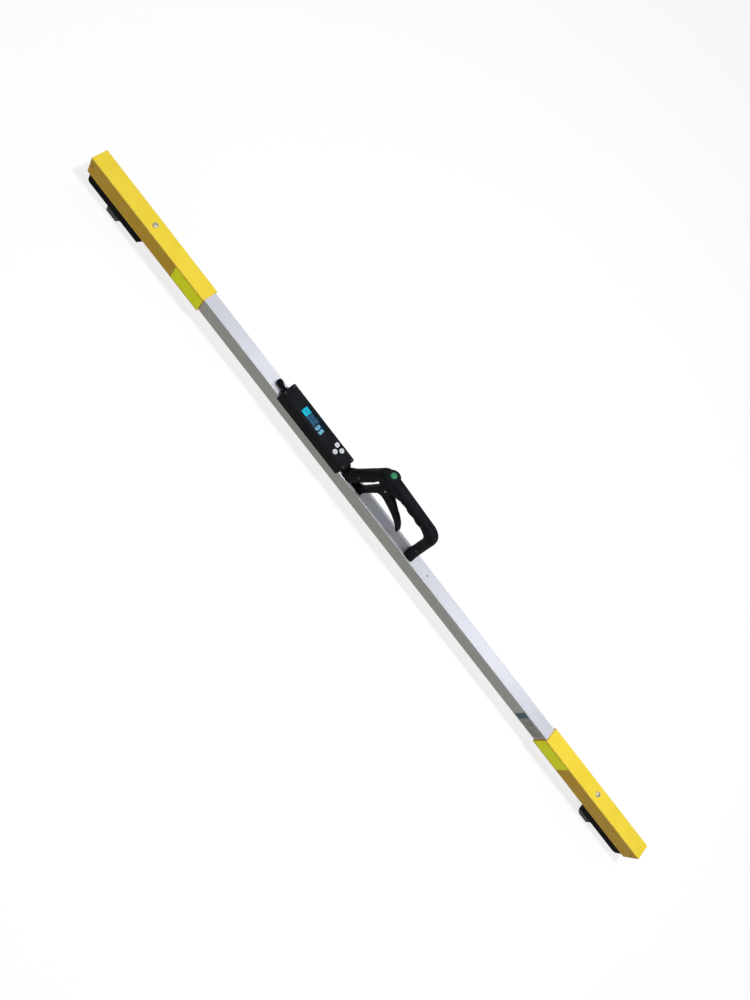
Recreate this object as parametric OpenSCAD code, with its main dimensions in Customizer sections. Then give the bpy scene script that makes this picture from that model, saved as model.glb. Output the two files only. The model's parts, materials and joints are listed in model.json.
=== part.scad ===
// Spring-loaded railway track gauge bar with a squeeze handle and a digital display.
// X runs along the bar towards the fixed stop, -Y faces the user, Z is up.
// The origin is on the ground plane under the middle of the bar, level with the stops' undersides.

/* [Overall] */
// Length over the end sleeves
total_len = 1600; // [1560:1:1700]
// Distance of the fixed stop's face from the right end; the stops then stand 1460 apart when released
fixed_face_inset = 82; // [78:1:90]
// Distance of the released movable stop's face from the left end
moving_face_inset = 58; // [56:1:64]
// Inward travel of the movable stop
stop_travel = 50; // [30:1:52]
// Depth of the stops below the rail seats
stop_drop = 17.5; // [16:0.5:22]

/* [Bar] */
// Width of the bar
bar_w = 27; // [25:0.5:30]
// Height of the bar
bar_h = 39; // [38:0.5:44]
// Wall of the bar
bar_wall = 2; // [1.6:0.1:2.4]
// Outer corner radius of the bar
bar_corner_r = 1.2; // [0.6:0.1:1.5]
// How far the bar's ends sit inside the sleeves
bar_inset = 11; // [8:0.5:14]

/* [End sleeves] */
// Length of a sleeve
sleeve_len = 296.5; // [280:0.5:320]
// Side wall of a sleeve
sleeve_wall_side = 3.3; // [2.6:0.1:4]
// Top and bottom wall of a sleeve
sleeve_wall_flat = 2.5; // [2:0.1:3.5]
// Outer corner radius of a sleeve
sleeve_corner_r = 2; // [1:0.1:2.5]
// Distance of the top screw from the sleeve's outer end
sleeve_screw_inset = 148; // [120:1:170]
// Radius of the top screw's head
sleeve_screw_head_r = 5.4; // [4:0.1:6.5]
// Height of the top screw's head
sleeve_screw_head_h = 2.6; // [1.5:0.1:3.5]
// Radius of the top screw's shank
sleeve_screw_r = 2.5; // [1.5:0.1:3]
// Width of the cross slot in the top screw's head
screw_slot_w = 1.2; // [0.8:0.1:1.6]
// Length of a reflective sticker
sticker_len = 72; // [50:1:90]
// Height of a reflective sticker
sticker_h = 35; // [25:0.5:38]
// Thickness of stickers and plates
sticker_t = 0.3; // [0.2:0.05:0.6]

/* [End plugs] */
// Recess of a plug behind the sleeve's end
plug_recess = 1; // [0.5:0.1:2]
// Clearance of a plug in the sleeve and in the bar
plug_clear = 0.1; // [0.05:0.05:0.3]
// Length of a plug's spigot inside the bar
plug_spigot_len = 14; // [8:0.5:18]
// Radius of a plug screw's head
plug_screw_head_r = 2.2; // [1.5:0.1:3]
// Height of a plug screw's head
plug_screw_head_h = 0.3; // [0.2:0.1:0.8]
// Radius of a plug screw's shank
plug_screw_r = 1.2; // [0.8:0.1:1.4]
// Length of a plug screw
plug_screw_len = 9; // [6:0.5:11]
// Height of the plug screws above the bar's underside
plug_screw_h = 24; // [15:0.5:28]

/* [Rest shoes] */
// Height of a shoe from its seat to the sleeve
shoe_h = 21; // [19:0.5:25]
// Width of a shoe
shoe_w = 32; // [28:0.5:34]
// Inset of a shoe's outer end from the sleeve's end
shoe_inset = 6; // [3:0.5:9]
// Length of the left shoe along its underside
left_shoe_len = 132; // [128:1:140]
// Length of the right shoe along its underside
right_shoe_len = 116; // [114:1:124]
// Lean of a shoe's inner end from bottom to top
shoe_lean = 10; // [4:0.5:14]
// Lower outer chamfer of a shoe
shoe_chamfer = 4; // [1:0.5:6]
// Thickness of a seat pad
pad_t = 4; // [3:0.1:5]
// How far a seat pad stands below its shoe
pad_proud = 0.5; // [0.3:0.1:1]
// Width of a seat pad
pad_w = 25; // [20:0.5:26]
// Length of the left seat pad
left_pad_len = 43; // [38:0.5:44]
// Length of the right seat pad
right_pad_len = 64; // [50:0.5:66]
// Inset of the pads from the shoe's outer end
pad_inset = 4.5; // [4:0.5:5]
// Radius of a shoe screw's shank
shoe_screw_r = 2; // [1.5:0.1:2.5]
// Radius of a shoe screw's countersunk head
shoe_screw_head_r = 4; // [3:0.1:5]
// Depth of a shoe screw's head below its seat
shoe_screw_sink = 0.6; // [0.3:0.1:1]
// Distance of the shoe screws from the pads' ends
shoe_screw_inset = 9; // [7:0.5:12]

/* [Stops] */
// Width of the stops
stop_w = 28; // [24:0.5:30]
// Length of the movable stop's top
stop_len = 35; // [32:0.5:38]
// Length of the fixed stop's top
fixed_stop_len = 39; // [36:0.5:42]
// Lean of a stop's inner side
stop_lean = 10; // [4:0.5:14]
// Thickness of a gauge-face plate
face_t = 3; // [2:0.1:4]
// How far a gauge-face plate stands out of its stop
face_proud = 0.5; // [0.3:0.1:1]
// Width of a gauge-face plate
face_w = 20; // [14:0.5:22]
// Margin of a gauge-face plate above and below
face_margin = 1.5; // [1:0.1:3]
// Width of the movable stop's neck
neck_w = 10; // [8:0.5:11]
// Length of the movable stop's neck
neck_len = 18; // [16:0.5:20]
// Distance from the stop's outer side to the neck
neck_inset = 5.5; // [4:0.5:7]
// Clearance of the neck in its slots
neck_clear = 0.6; // [0.3:0.1:1]
// Clearance between the movable stop and its shoe
stop_gap = 0.4; // [0.3:0.1:0.8]
// Radius of a stop bolt's shank
bolt_r = 2; // [1.5:0.1:2.2]
// Radius of a stop bolt's head
bolt_head_r = 3.6; // [3:0.1:4]
// Height of a stop bolt's head
bolt_head_h = 4; // [3:0.1:5]
// Depth of a bolt head below the stop's underside
bolt_sink = 1.5; // [0.5:0.1:3]
// Spacing of the movable stop's two bolts
bolt_pitch = 9; // [8:0.5:9.5]
// Clearance around the bolt heads
bolt_head_clear = 0.3; // [0.2:0.05:0.4]
// Metal left between the movable stop's bolts and the guide rod
bolt_end_wall = 1.2; // [0.8:0.1:1.6]
// Distance of the fixed stop's bolts behind its face plate
fixed_bolt_inset = 16; // [14:0.5:18]
// Half spacing of the fixed stop's bolts across the bar
fixed_bolt_y = 8; // [7:0.5:9]
// Depth of the fixed stop's bolts in the shoe
fixed_bolt_grip = 12; // [8:0.5:16]

/* [Carriage and rods] */
// Length of the carriage
carriage_len = 60; // [50:1:64]
// Height of the carriage
carriage_h = 29; // [28:0.5:29.5]
// Clearance of the carriage in the bar
carriage_clear = 0.3; // [0.2:0.05:0.5]
// Distance from the stop's outer side back to the carriage's outer end
carriage_lead = 10; // [6:0.5:14]
// Radius of the guide rod
guide_r = 4; // [3:0.1:4.5]
// Height of the guide rod above the bar's floor
guide_h = 8.5; // [8:0.1:9]
// Running clearance of a shaft in its hole
run_clear = 0.06; // [0.03:0.01:0.1]
// Radius of the pull rod
rod_r = 2.5; // [2:0.1:3]
// Depth of the pull rod's axis below the bar's top
rod_depth = 14; // [13.5:0.5:14.5]
// Length of pull rod screwed into the carriage
rod_grip = 15; // [10:0.5:20]
// Width across the lock nut's corners
nut_w = 9; // [8:0.1:10]
// Thickness of the lock nut
nut_t = 4; // [3:0.1:5]
// Length of the released return spring, from the carriage to the bulkhead
spring_len = 106.5; // [100:0.5:120]
// Thickness of the bulkhead and the rod guides
bulkhead_t = 10; // [6:0.5:14]
// Distance of the outer rod guide from the middle of the bar
outer_guide_x = 440; // [420:1:460]
// Distance of the inner rod guide from the middle of the bar
inner_guide_x = 320; // [310:1:340]
// Clearance of the rod in the bulkhead
bulkhead_clear = 0.6; // [0.4:0.1:1]
// Outer radius of the return spring
spring_r = 7; // [6.5:0.1:7.2]
// Wire radius of the return spring
spring_wire_r = 0.8; // [0.5:0.1:1]
// Turns of the return spring
spring_turns = 14; // [8:1:18]
// Length of the linear scale
scale_len = 160; // [140:1:190]
// Width of the linear scale
scale_w = 12; // [8:0.5:16]
// Thickness of the linear scale
scale_t = 1.2; // [0.8:0.1:1.5]
// Clearance round the linear scale where it passes the bulkhead
scale_clear = 0.5; // [0.3:0.1:0.8]
// Reading gap between the scale and the read head
read_gap = 0.6; // [0.4:0.1:1]
// Length of the read head
head_len = 38; // [25:1:45]
// Width of the read head
head_w = 16; // [10:0.5:20]

/* [Lever] */
// Thickness of the trigger lever
lever_t = 9; // [7:0.5:9.5]
// Place of the pivot along the bar
pivot_x = -56.5; // [-58:0.5:-55]
// Height of the pivot above the bar's top
pivot_h = 83; // [81:0.5:85]
// Radius of the lever's hub
hub_r = 9; // [8:0.5:10]
// Radius of the pivot pin
pivot_r = 3; // [2:0.1:4]
// Place of the lever's end pin along the bar
pin_x = -81.9; // [-83:0.1:-81]
// Height of the end pin above the pull rod's axis at rest
pin_rise = 2; // [1:0.1:2.5]
// Radius of the end pin
pin_r = 2.5; // [2:0.1:3]
// Radius of the lever's lower end
arm_end_r = 5.5; // [4.5:0.1:6]
// Width of the lever's arm
arm_w = 9.5; // [8:0.1:10.5]
// Start of the finger blade to the right of the pivot
blade_start_x = 15; // [14:0.5:17]
// Start of the finger blade below the pivot
blade_start_drop = 15.5; // [14:0.5:17]
// End of the finger blade to the right of the pivot
blade_end_x = 73; // [68:0.5:76]
// End of the finger blade below the pivot
blade_end_drop = 59.5; // [55:0.5:62]
// Length of the web down the lever's arm
web_len = 21.6; // [18:0.1:24]
// Overlap of the web on the finger blade
web_lap = 4.5; // [3:0.5:6]
// Radius of the finger blade's bend
blade_r = 140; // [100:1:200]
// Depth of the finger blade
blade_d = 9; // [7:0.5:11]
// Play of the end pin in the clevis slot
pin_play = 0.35; // [0.3:0.05:0.6]
// Margin of the pivot cheeks around the hub
ear_margin = 1; // [0.5:0.1:2]
// Play of the lever between its cheeks
cheek_play = 0.5; // [0.3:0.1:0.8]
// Thickness of a clevis cheek
cheek_t = 3.5; // [3:0.1:4]
// Half length of the clevis around its slot
clevis_half = 8; // [7.5:0.1:9]
// Length of the clevis shank
clevis_shank = 15; // [10:0.5:18]
// Solid metal between the pull rod's end and the clevis groove
clevis_web = 5; // [3:0.5:6]
// Wall of the clevis above and below its slot
clevis_wall = 2.5; // [2:0.1:3]
// Flange of the slot liner beyond its slot
liner_flange = 3; // [2:0.1:4]
// Thickness of the slot liner
liner_t = 1.2; // [0.8:0.1:1.6]
// Clearance of the lever beside the slot liner
liner_clear = 1; // [0.6:0.1:1.5]
// Clearance of the lever at the slot liner's ends
liner_end_clear = 2.5; // [2:0.1:3]

/* [Handle] */
// Width of the handle across the bar
grip_w = 22; // [20:0.5:24]
// Depth of the handle in its own plane
grip_d = 20.5; // [19:0.5:22]
// Corner radius of the handle's section
grip_r = 8.5; // [7:0.5:9]
// Wall of the handle shells
grip_wall = 3; // [2.4:0.1:3.5]
// Left foot of the handle along the bar
left_foot_x = -111.2; // [-113:0.1:-110]
// Right foot of the handle along the bar
right_foot_x = 70.5; // [65:0.5:80]
// Left corner of the handle's centre line along the bar
left_corner_x = -78.6; // [-80:0.1:-77]
// Height of the left corner above the bar's top
left_corner_h = 112; // [110:0.5:114]
// Right corner of the handle's centre line along the bar
right_corner_x = 55.5; // [50:0.5:60]
// Height of the right corner above the bar's top
right_corner_h = 104.2; // [102:0.1:106]
// Bend radius of the handle's corners
bend_r = 20; // [18:0.5:24]
// Height of the solid feet
foot_h = 14; // [10:0.5:18]
// Thickness of the foot gaskets
gasket_t = 1.5; // [0.8:0.1:2]
// How far a foot gasket stands out around its foot
gasket_lip = 1; // [0.5:0.1:1.5]
// Thickness of the pivot cheeks
ear_t = 4.5; // [3.5:0.1:5]
// Reach of the pivot cheeks down the left leg from its corner
ear_down = 25.5; // [22:0.5:30]
// Reach of the pivot cheeks along the grip from its corner
ear_along = 48.5; // [44:0.5:54]
// Distance of the left leg's screw from its foot
left_screw_s = 42; // [36:0.5:46]
// Distance of the grip's screw from the left corner
grip_screw_s = 105; // [95:0.5:108]
// Distance of the right leg's screw from its foot
right_screw_s = 44; // [36:0.5:50]
// Radius of a handle screw's shank
grip_screw_r = 1.5; // [1.2:0.1:1.8]
// Radius of a handle screw's head
grip_screw_head_r = 3; // [2.4:0.1:3.2]
// Height of a handle screw's head
grip_screw_head_h = 2; // [1.5:0.1:2.5]
// Radius of the bosses around the handle screws
grip_boss_r = 4.8; // [4.2:0.1:5.5]
// Radius of a foot screw's shank
foot_screw_r = 2; // [1.5:0.1:2.5]
// Radius of a foot screw's head
foot_screw_head_r = 3.5; // [3:0.1:4]
// Height of a foot screw's head
foot_screw_head_h = 2.8; // [2:0.1:3]
// Half spacing of the foot screws across the bar
foot_screw_y = 5.5; // [4.5:0.1:6]
// Length of a foot screw inside its foot
foot_screw_grip = 11; // [6:0.5:12]

/* [Thumb button] */
// Radius of the thumb button
thumb_r = 6; // [4.5:0.1:6.2]
// How far the thumb button stands out of its boss
thumb_proud = 2; // [1.8:0.1:3]
// Travel of the thumb button
thumb_travel = 1.5; // [1:0.1:1.7]
// Direction of the thumb button from the bend's centre, from +X upwards
thumb_dir = 105; // [98:1:112]
// Height of the button boss above the handle
thumb_boss_h = 1.2; // [0.6:0.1:2]
// Wall of the button boss
thumb_boss_wall = 1.7; // [1.2:0.1:2.2]
// Length of the button's guide inside the handle's wall
thumb_guide_len = 2.5; // [2:0.1:3]
// Thickness of the button's flange
thumb_flange_t = 1.5; // [1:0.1:2]
// Room around the button's flange
thumb_flange_room = 1.1; // [1:0.1:1.3]
// Length of the micro switch
switch_len = 11; // [8:0.5:12]
// Width of the micro switch
switch_w = 6; // [5:0.5:8]
// Gap below the micro switch and above it with the button pressed
switch_gap = 0.2; // [0.1:0.05:0.4]
// Clearance around the button and the keys
button_clear = 0.3; // [0.2:0.05:0.4]

/* [Display box] */
// Length of the display box
box_len = 170.5; // [165:0.5:176]
// Gap between the display box and the handle's left foot gasket
box_foot_gap = 3.6; // [2:0.1:6]
// Height of the display box above the bar's top
box_h = 22.5; // [21.5:0.5:26]
// Depth of the box's skirts below the bar's top
skirt_h = 10; // [6:0.5:14]
// Wall of the skirts
skirt_t = 1.4; // [1:0.1:2]
// Wall of the display box
box_wall = 2; // [1.6:0.1:2.4]
// Corner radius of the display box
box_corner_r = 3; // [2:0.1:4]
// Height of the cover's side
cover_side_h = 7; // [5:0.5:8]
// Thickness of the cover's top
cover_t = 2.2; // [1.8:0.1:2.6]
// Thickness of the circuit board
board_t = 1.6; // [1:0.1:2]
// Height of the circuit board above the box floor
board_h = 9.6; // [9.2:0.1:10]
// Width of the circuit board
board_w = 23; // [20:0.5:24]
// Room between the circuit board and the ends of the box
board_end = 15; // [14:0.5:18]
// Radius of the board posts
post_r = 2.5; // [2:0.1:3]
// Inset of the board posts from the board's ends
post_inset = 1; // [0.5:0.1:2]
// Margin of the display module inside the board's sides
module_margin = 0.5; // [0.3:0.1:1]
// Length of the battery
battery_len = 58; // [40:1:70]
// Width of the battery
battery_w = 18; // [14:0.5:20]
// Height of the battery
battery_h = 8.6; // [6:0.1:9]
// Length of the window
window_len = 56; // [50:0.5:60]
// Width of the window
window_w = 19; // [16:0.5:20]
// Middle of the window from the middle of the box
window_x = -14.25; // [-18:0.25:-10]
// Corner radius of the window
window_r = 1.5; // [1:0.1:3]
// Clearance of the window lens
lens_clear = 0.1; // [0.05:0.05:0.2]
// Lip of the lens under the cover
lens_lip = 1.5; // [1:0.1:2]
// Thickness of the lens lip
lens_lip_t = 1.2; // [0.8:0.1:1.5]
// Recess of the lens below the cover's face
lens_recess = 0.3; // [0.1:0.1:0.6]
// Gap between the display module and the lens
panel_gap = 0.5; // [0.3:0.1:0.8]
// Radius of the cover and box screws
box_screw_r = 1.2; // [1:0.1:1.5]
// Radius of the cover and box screw heads
box_screw_head_r = 2.2; // [1.8:0.1:2.4]
// Height of a box screw's head
box_screw_head_h = 1.5; // [1:0.1:2]
// Inset of the box screws from the box's ends
box_screw_inset = 22; // [18:0.5:24]
// Depth of the cover screws in the box
cover_screw_grip = 7; // [5:0.5:9]
// Inset of the cover screws from the box's ends and sides
cover_screw_inset = 4; // [3.8:0.1:4.5]

/* [Keys] */
// Radius of a key
key_r = 4.8; // [4:0.1:5]
// Distance between neighbouring keys
key_pitch = 13.4; // [13.2:0.1:14.5]
// Middle of the keys from the middle of the box
keys_x = 51.5; // [48:0.5:55]
// How far a key stands out of the cover
key_proud = 1.6; // [1.2:0.1:2.5]
// Travel of a key
key_travel = 0.8; // [0.5:0.1:1]
// Radius of a key's flange
key_flange_r = 5.9; // [5.6:0.1:6.2]
// Thickness of a key's flange
key_flange_t = 1.3; // [1:0.1:1.5]
// Thickness of the key mat
mat_t = 1.2; // [0.8:0.1:1.5]
// Margin of the key mat inside the board's sides
mat_margin = 1; // [0.5:0.1:1.5]
// Radius of the key mat's domes
dome_r = 2.4; // [2:0.1:3]
// Height of the key mat's domes
dome_h = 0.9; // [0.6:0.1:1]
// Room left over the domes with a key pressed
key_room = 0.15; // [0.1:0.05:0.3]

/* [Toggle] */
// Offset of the toggle across the bar
toggle_y = -2.5; // [-4:0.5:2]
// Height of the toggle above the bar's top
toggle_h = 8; // [7.5:0.1:8.5]
// Tilt of the toggle at rest
toggle_tilt = 12; // [8:1:14]
// Radius of the toggle's bushing
bushing_r = 4; // [3.6:0.1:4.4]
// How far the bushing stands out of the box
bushing_len = 4; // [3.2:0.1:5]
// Distance of the toggle's pivot outside the box
toggle_out = 1; // [0.5:0.1:1.5]
// Length of the switch body inside the box
toggle_body_len = 9; // [6:0.5:12]
// Margin of the switch body around the bushing
toggle_body_margin = 0.5; // [0.3:0.1:0.8]
// Thickness of the bushing's nut
toggle_nut_t = 2; // [1.5:0.1:2.5]
// Margin of the bushing's nut around the bushing
toggle_nut_margin = 1.8; // [1.2:0.1:2]
// Radius of the bushing's bore
toggle_bore_r = 2.5; // [2.4:0.1:2.8]
// Radius of the toggle's knuckle
knuckle_r = 1.6; // [1.4:0.1:1.7]
// Height of the toggle's knuckle
knuckle_h = 3; // [2.4:0.1:3]
// Radius of the toggle's stem
stem_r = 1.4; // [1.1:0.1:1.5]
// Gap between the bushing and the boot
boot_gap = 2.2; // [1.8:0.1:3]
// Radius of the boot's neck
boot_neck_r = 3.3; // [2.8:0.1:3.6]
// Radius of the boot's head
boot_head_r = 5.3; // [4.5:0.1:5.5]
// Reach of the boot beyond the box's end
boot_reach = 22; // [20:0.5:25]

/* [Small parts] */
// Clearance of screws, pins and rods in their holes
hole_clear = 0.05; // [0.02:0.01:0.1]
// Place of the tilt sensor along the bar
sensor_x = 121; // [100:1:160]
// Length of the tilt sensor
sensor_len = 28; // [20:0.5:36]
// Width of the tilt sensor
sensor_w = 18; // [12:0.5:20]
// Height of the tilt sensor
sensor_h = 9; // [7:0.5:12]
// Radius of the tilt sensor's screw
sensor_screw_r = 1.6; // [1.2:0.1:2]
// Depth of the tilt sensor's screw in the sensor
sensor_screw_grip = 6; // [4:0.5:6.5]
// Gap between the data plate and the right sleeve
plate_gap = 7.5; // [2:0.5:15]
// Width of the teal band
band_len = 13; // [8:0.5:20]
// Height of the teal band and the data plate
plate_h = 32; // [25:0.5:35]
// Length of the data plate
plate_len = 46; // [30:1:48]

/* [Hidden] */
$fn = 96;
// Cut overshoot
eps = 1;
// Lap and oversize of the handle's bends over its straight runs
bend_lap = 0.8;
bend_over = 0.05;
// Step between the finger blade and its rounded end
blade_tip_step = 0.05;
// Heights of the stack, from the stops' undersides up
seat_z = stop_drop;
shoe_bot_z = seat_z + pad_proud;
sleeve_bot_z = seat_z + shoe_h;
bar_bot_z = sleeve_bot_z + sleeve_wall_flat;
bar_top_z = bar_bot_z + bar_h;
bar_mid_z = (bar_bot_z + bar_top_z) / 2;
floor_z = bar_bot_z + bar_wall;
ceil_z = bar_top_z - bar_wall;
cavity_w = bar_w - 2 * bar_wall;
cavity_h = bar_h - 2 * bar_wall;
end_x = total_len / 2;
bar_end_x = end_x - bar_inset;
sleeve_w = bar_w + 2 * sleeve_wall_side;
sleeve_h = bar_h + 2 * sleeve_wall_flat;
plate_x = end_x - sleeve_len - plate_gap - plate_len;
plug_screw_x = end_x - (plug_recess + bar_inset) / 2;
shoe_end_x = end_x - shoe_inset;
// Movable stop, carriage and rods
fixed_face_x = end_x - fixed_face_inset;
move_face_x = moving_face_inset - end_x;
move_body_x = move_face_x + face_proud;
neck_x = move_body_x + neck_inset;
slot_x0 = neck_x - neck_clear;
slot_len = neck_len + stop_travel + 2 * neck_clear;
slot_w = neck_w + 2 * neck_clear;
bolt_x = neck_x + neck_len / 2;
carriage_x = move_body_x - carriage_lead;
carriage_z = floor_z + carriage_clear;
guide_z = floor_z + guide_h;
rod_z = bar_top_z - rod_depth;
rod_x0 = carriage_x + carriage_len - rod_grip;
rod_x1 = pin_x - clevis_half - clevis_web;
guide_x0 = -bar_end_x - bar_inset / 2;
spring_x0 = carriage_x + carriage_len;
spring_x1 = spring_x0 + spring_len;
bulkhead_x = spring_x1 + bulkhead_t / 2;
fixed_body_x = fixed_face_x - face_proud;
fixed_bolt_x = fixed_body_x - face_t - fixed_bolt_inset;
movable_bolt_grip = guide_h - guide_r - carriage_clear - bolt_end_wall;
spring_coil_r = spring_r - spring_wire_r;
spring_pitch = (spring_x1 - spring_x0 - 2 * spring_wire_r) / spring_turns;
// Steps in a turn of the spring and sides of its wire
spring_steps = 16;
spring_sides = 6;
// Lever
pivot_z = bar_top_z + pivot_h;
pin_z = rod_z + pin_rise;
arm_len = norm([pin_x - pivot_x, pin_z - pivot_z]);
arm_dir = atan2(pin_z - pivot_z, pin_x - pivot_x);
groove_w = lever_t + 2 * cheek_play;
clevis_w = groove_w + 2 * cheek_t;
ear_r = hub_r + ear_margin;
pin_low_z = pivot_z - arm_len;
clevis_slot_z0 = pin_low_z - pin_r - pin_play;
clevis_slot_z1 = pin_z + pin_r + pin_play;
// The lever's swing turns the end pin through the stop's travel
squeeze_angle = asin((pin_x + stop_travel - pivot_x) / arm_len) - asin((pin_x - pivot_x) / arm_len);
arm_slope = (pivot_x - pin_x) / (pivot_z - pin_z);
liner_x0 = pivot_x - arm_slope * pivot_h - arm_w / 2 - liner_end_clear;
liner_x1 = pivot_x + pivot_h * tan(arm_dir + 90 + squeeze_angle) + arm_w / 2 + liner_end_clear;
liner_w = lever_t + 2 * liner_clear;
// Finger blade, from the lever's pivot
blade_start = [blade_start_x, -blade_start_drop];
blade_end = [blade_end_x, -blade_end_drop];
blade_chord = norm(blade_end - blade_start);
blade_dir = heading(blade_start, blade_end);
blade_half = asin(blade_chord / 2 / blade_r);
blade_rise = sqrt(pow(blade_r, 2) - pow(blade_chord / 2, 2));
blade_centre = (blade_start + blade_end) / 2 - unit(blade_dir + 90) * blade_rise;
// Handle centre line, in the plane along the bar
foot_z = bar_top_z + gasket_t;
path_left_foot = [left_foot_x, bar_top_z];
path_left_corner = [left_corner_x, bar_top_z + left_corner_h];
path_right_corner = [right_corner_x, bar_top_z + right_corner_h];
path_right_foot = [right_foot_x, bar_top_z];
left_leg_dir = heading(path_left_foot, path_left_corner);
grip_dir = heading(path_left_corner, path_right_corner);
right_leg_dir = heading(path_right_corner, path_right_foot);
left_bend = bend_centre(path_left_corner, left_leg_dir, grip_dir);
right_bend = bend_centre(path_right_corner, grip_dir, right_leg_dir);
thumb_surface_r = bend_r + grip_d / 2 + thumb_boss_h;
thumb_hole_r = thumb_r + button_clear;
thumb_boss_r = thumb_hole_r + thumb_boss_wall;
thumb_boss_in = thumb_surface_r - thumb_boss_h - grip_wall - thumb_guide_len;
thumb_flange_r = min(thumb_boss_r, grip_w / 2 - grip_wall) - thumb_flange_room;
thumb_bottom_r = thumb_boss_in - button_clear - thumb_flange_t;
thumb_room_r = thumb_bottom_r - thumb_travel - button_clear;
switch_bottom_r = bend_r - grip_d / 2 + grip_wall + switch_gap;
// Directions from the pivot in which the cheeks' edges leave its boss
ear_front_dir = -30;
ear_back_dir = 195;
// Handle screws sit at these points of the centre line
grip_screw_points = [
    path_left_foot + unit(left_leg_dir) * left_screw_s,
    path_left_corner + unit(grip_dir) * grip_screw_s,
    path_right_foot - unit(right_leg_dir) * right_screw_s
];
// Display box
box_w = bar_w + 2 * skirt_t;
box_right_x = left_foot_x - gasket_len(left_leg_dir) / 2 - box_foot_gap;
box_x = box_right_x - box_len / 2;
box_top_z = bar_top_z + box_h;
box_floor_z = bar_top_z + box_wall;
split_z = box_top_z - cover_side_h;
cover_under_z = box_top_z - cover_t;
board_z = box_floor_z + board_h;
board_top_z = board_z + board_t;
box_left_x = box_x - box_len / 2;
board_len = box_len - 2 * board_end;
post_x = board_len / 2 - post_r - post_inset;
lens_lip_z = cover_under_z - lens_lip_t;
key_height = key_pitch * sin(60);
key_places = [
    [-key_pitch / 2, key_height / 2],
    [0, -key_height / 2],
    [key_pitch / 2, key_height / 2]
];
key_flange_z = cover_under_z - button_clear - key_flange_t;
mat_top_z = board_top_z + mat_t;
key_bottom_z = mat_top_z + dome_h + key_travel + key_room;
toggle_z = bar_top_z + toggle_h;
toggle_x = box_left_x - toggle_out;

function heading(a, b) = atan2(b[1] - a[1], b[0] - a[0]);
function along(a, b, t) = a + (b - a) * t;
// Length of the gasket under a leg that meets the bar at direction a
function gasket_len(a) = grip_d / abs(sin(a)) + 2 * gasket_lip;
function unit(a) = [cos(a), sin(a)];
// Centre of a right-hand bend at corner p between headings d0 and d1
function bend_centre(p, d0, d1) = p - unit(d0) * bend_r * tan((d0 - d1) / 2) + unit(d0 - 90) * bend_r;

module rounded_rect(w, h, r) {
    square([w - 2 * r, h], center = true);
    square([w, h - 2 * r], center = true);
    for (sx = [-1, 1], sy = [-1, 1])
        translate([sx * (w / 2 - r), sy * (h / 2 - r)]) circle(r);
}

// Extrudes a section, drawn as across by up, along the bar from x0
module along_bar(x0, len) {
    translate([x0, 0, 0]) rotate([90, 0, 90]) linear_extrude(len) children();
}

// Extrudes an outline, drawn as along by up, to both sides of the middle plane
module across_bar(t) {
    rotate([90, 0, 0]) linear_extrude(t, center = true) children();
}

module rod_along(x0, x1, z, r, y = 0) {
    translate([x0, y, z]) rotate([0, 90, 0]) cylinder(h = x1 - x0, r = r);
}

module rod_across(x, z, r, len) {
    translate([x, 0, z]) rotate([90, 0, 0]) cylinder(h = len, r = r, center = true);
}

module block(x0, x1, w, z0, z1, y = 0) {
    translate([x0, y - w / 2, z0]) cube([x1 - x0, w, z1 - z0]);
}

// Puts both mirror images of a piece at the two ends
module both_ends() {
    children();
    mirror([1, 0, 0]) children();
}

// Bar and end sleeves
module bar_extrusion() {
    color("gainsboro") difference() {
        along_bar(-bar_end_x, 2 * bar_end_x) translate([0, bar_mid_z]) difference() {
            rounded_rect(bar_w, bar_h, bar_corner_r);
            square([cavity_w, cavity_h], center = true);
        }
        stop_slot();
        block(liner_x0 - liner_t, liner_x1 + liner_t, liner_w + 2 * liner_t, ceil_z - eps, bar_top_z + eps);
        both_ends() translate([end_x - sleeve_screw_inset, 0, ceil_z - eps])
            cylinder(h = bar_wall + 2 * eps, r = sleeve_screw_r + hole_clear);
        for (x = shoe_screw_xs()) translate([x, 0, bar_bot_z - eps])
            cylinder(h = bar_wall + 2 * eps, r = shoe_screw_r + hole_clear);
        foot_screw_holes(foot_screw_r + hole_clear, ceil_z - eps, bar_top_z + eps);
        for (x = box_screw_xs()) translate([x, 0, ceil_z - eps])
            cylinder(h = bar_wall + 2 * eps, r = box_screw_r + hole_clear);
        translate([sensor_x, 0, ceil_z - eps])
            cylinder(h = bar_wall + 2 * eps, r = sensor_screw_r + hole_clear);
    }
}

// Slot under the movable stop's neck through bar, sleeve and shoe
module stop_slot() {
    block(slot_x0, slot_x0 + slot_len, slot_w, -eps, floor_z + eps);
}

module sleeve_tube() {
    difference() {
        along_bar(end_x - sleeve_len, sleeve_len) translate([0, bar_mid_z]) difference() {
            rounded_rect(sleeve_w, sleeve_h, sleeve_corner_r);
            square([bar_w, bar_h], center = true);
        }
        translate([end_x - sleeve_screw_inset, 0, bar_top_z - eps])
            cylinder(h = sleeve_wall_flat + 2 * eps, r = sleeve_screw_r + hole_clear);
        rod_across(plug_screw_x, bar_bot_z + plug_screw_h, plug_screw_r + hole_clear, sleeve_w + 2 * eps);
    }
}

module left_end_sleeve() {
    color("gold") difference() {
        mirror([1, 0, 0]) sleeve_tube();
        stop_slot();
        for (x = left_shoe_screw_xs()) translate([x, 0, sleeve_bot_z - eps])
            cylinder(h = sleeve_wall_flat + 2 * eps, r = shoe_screw_r + hole_clear);
    }
}

module right_end_sleeve() {
    color("gold") difference() {
        sleeve_tube();
        for (x = right_shoe_screw_xs()) translate([x, 0, sleeve_bot_z - eps])
            cylinder(h = sleeve_wall_flat + 2 * eps, r = shoe_screw_r + hole_clear);
    }
}

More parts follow.
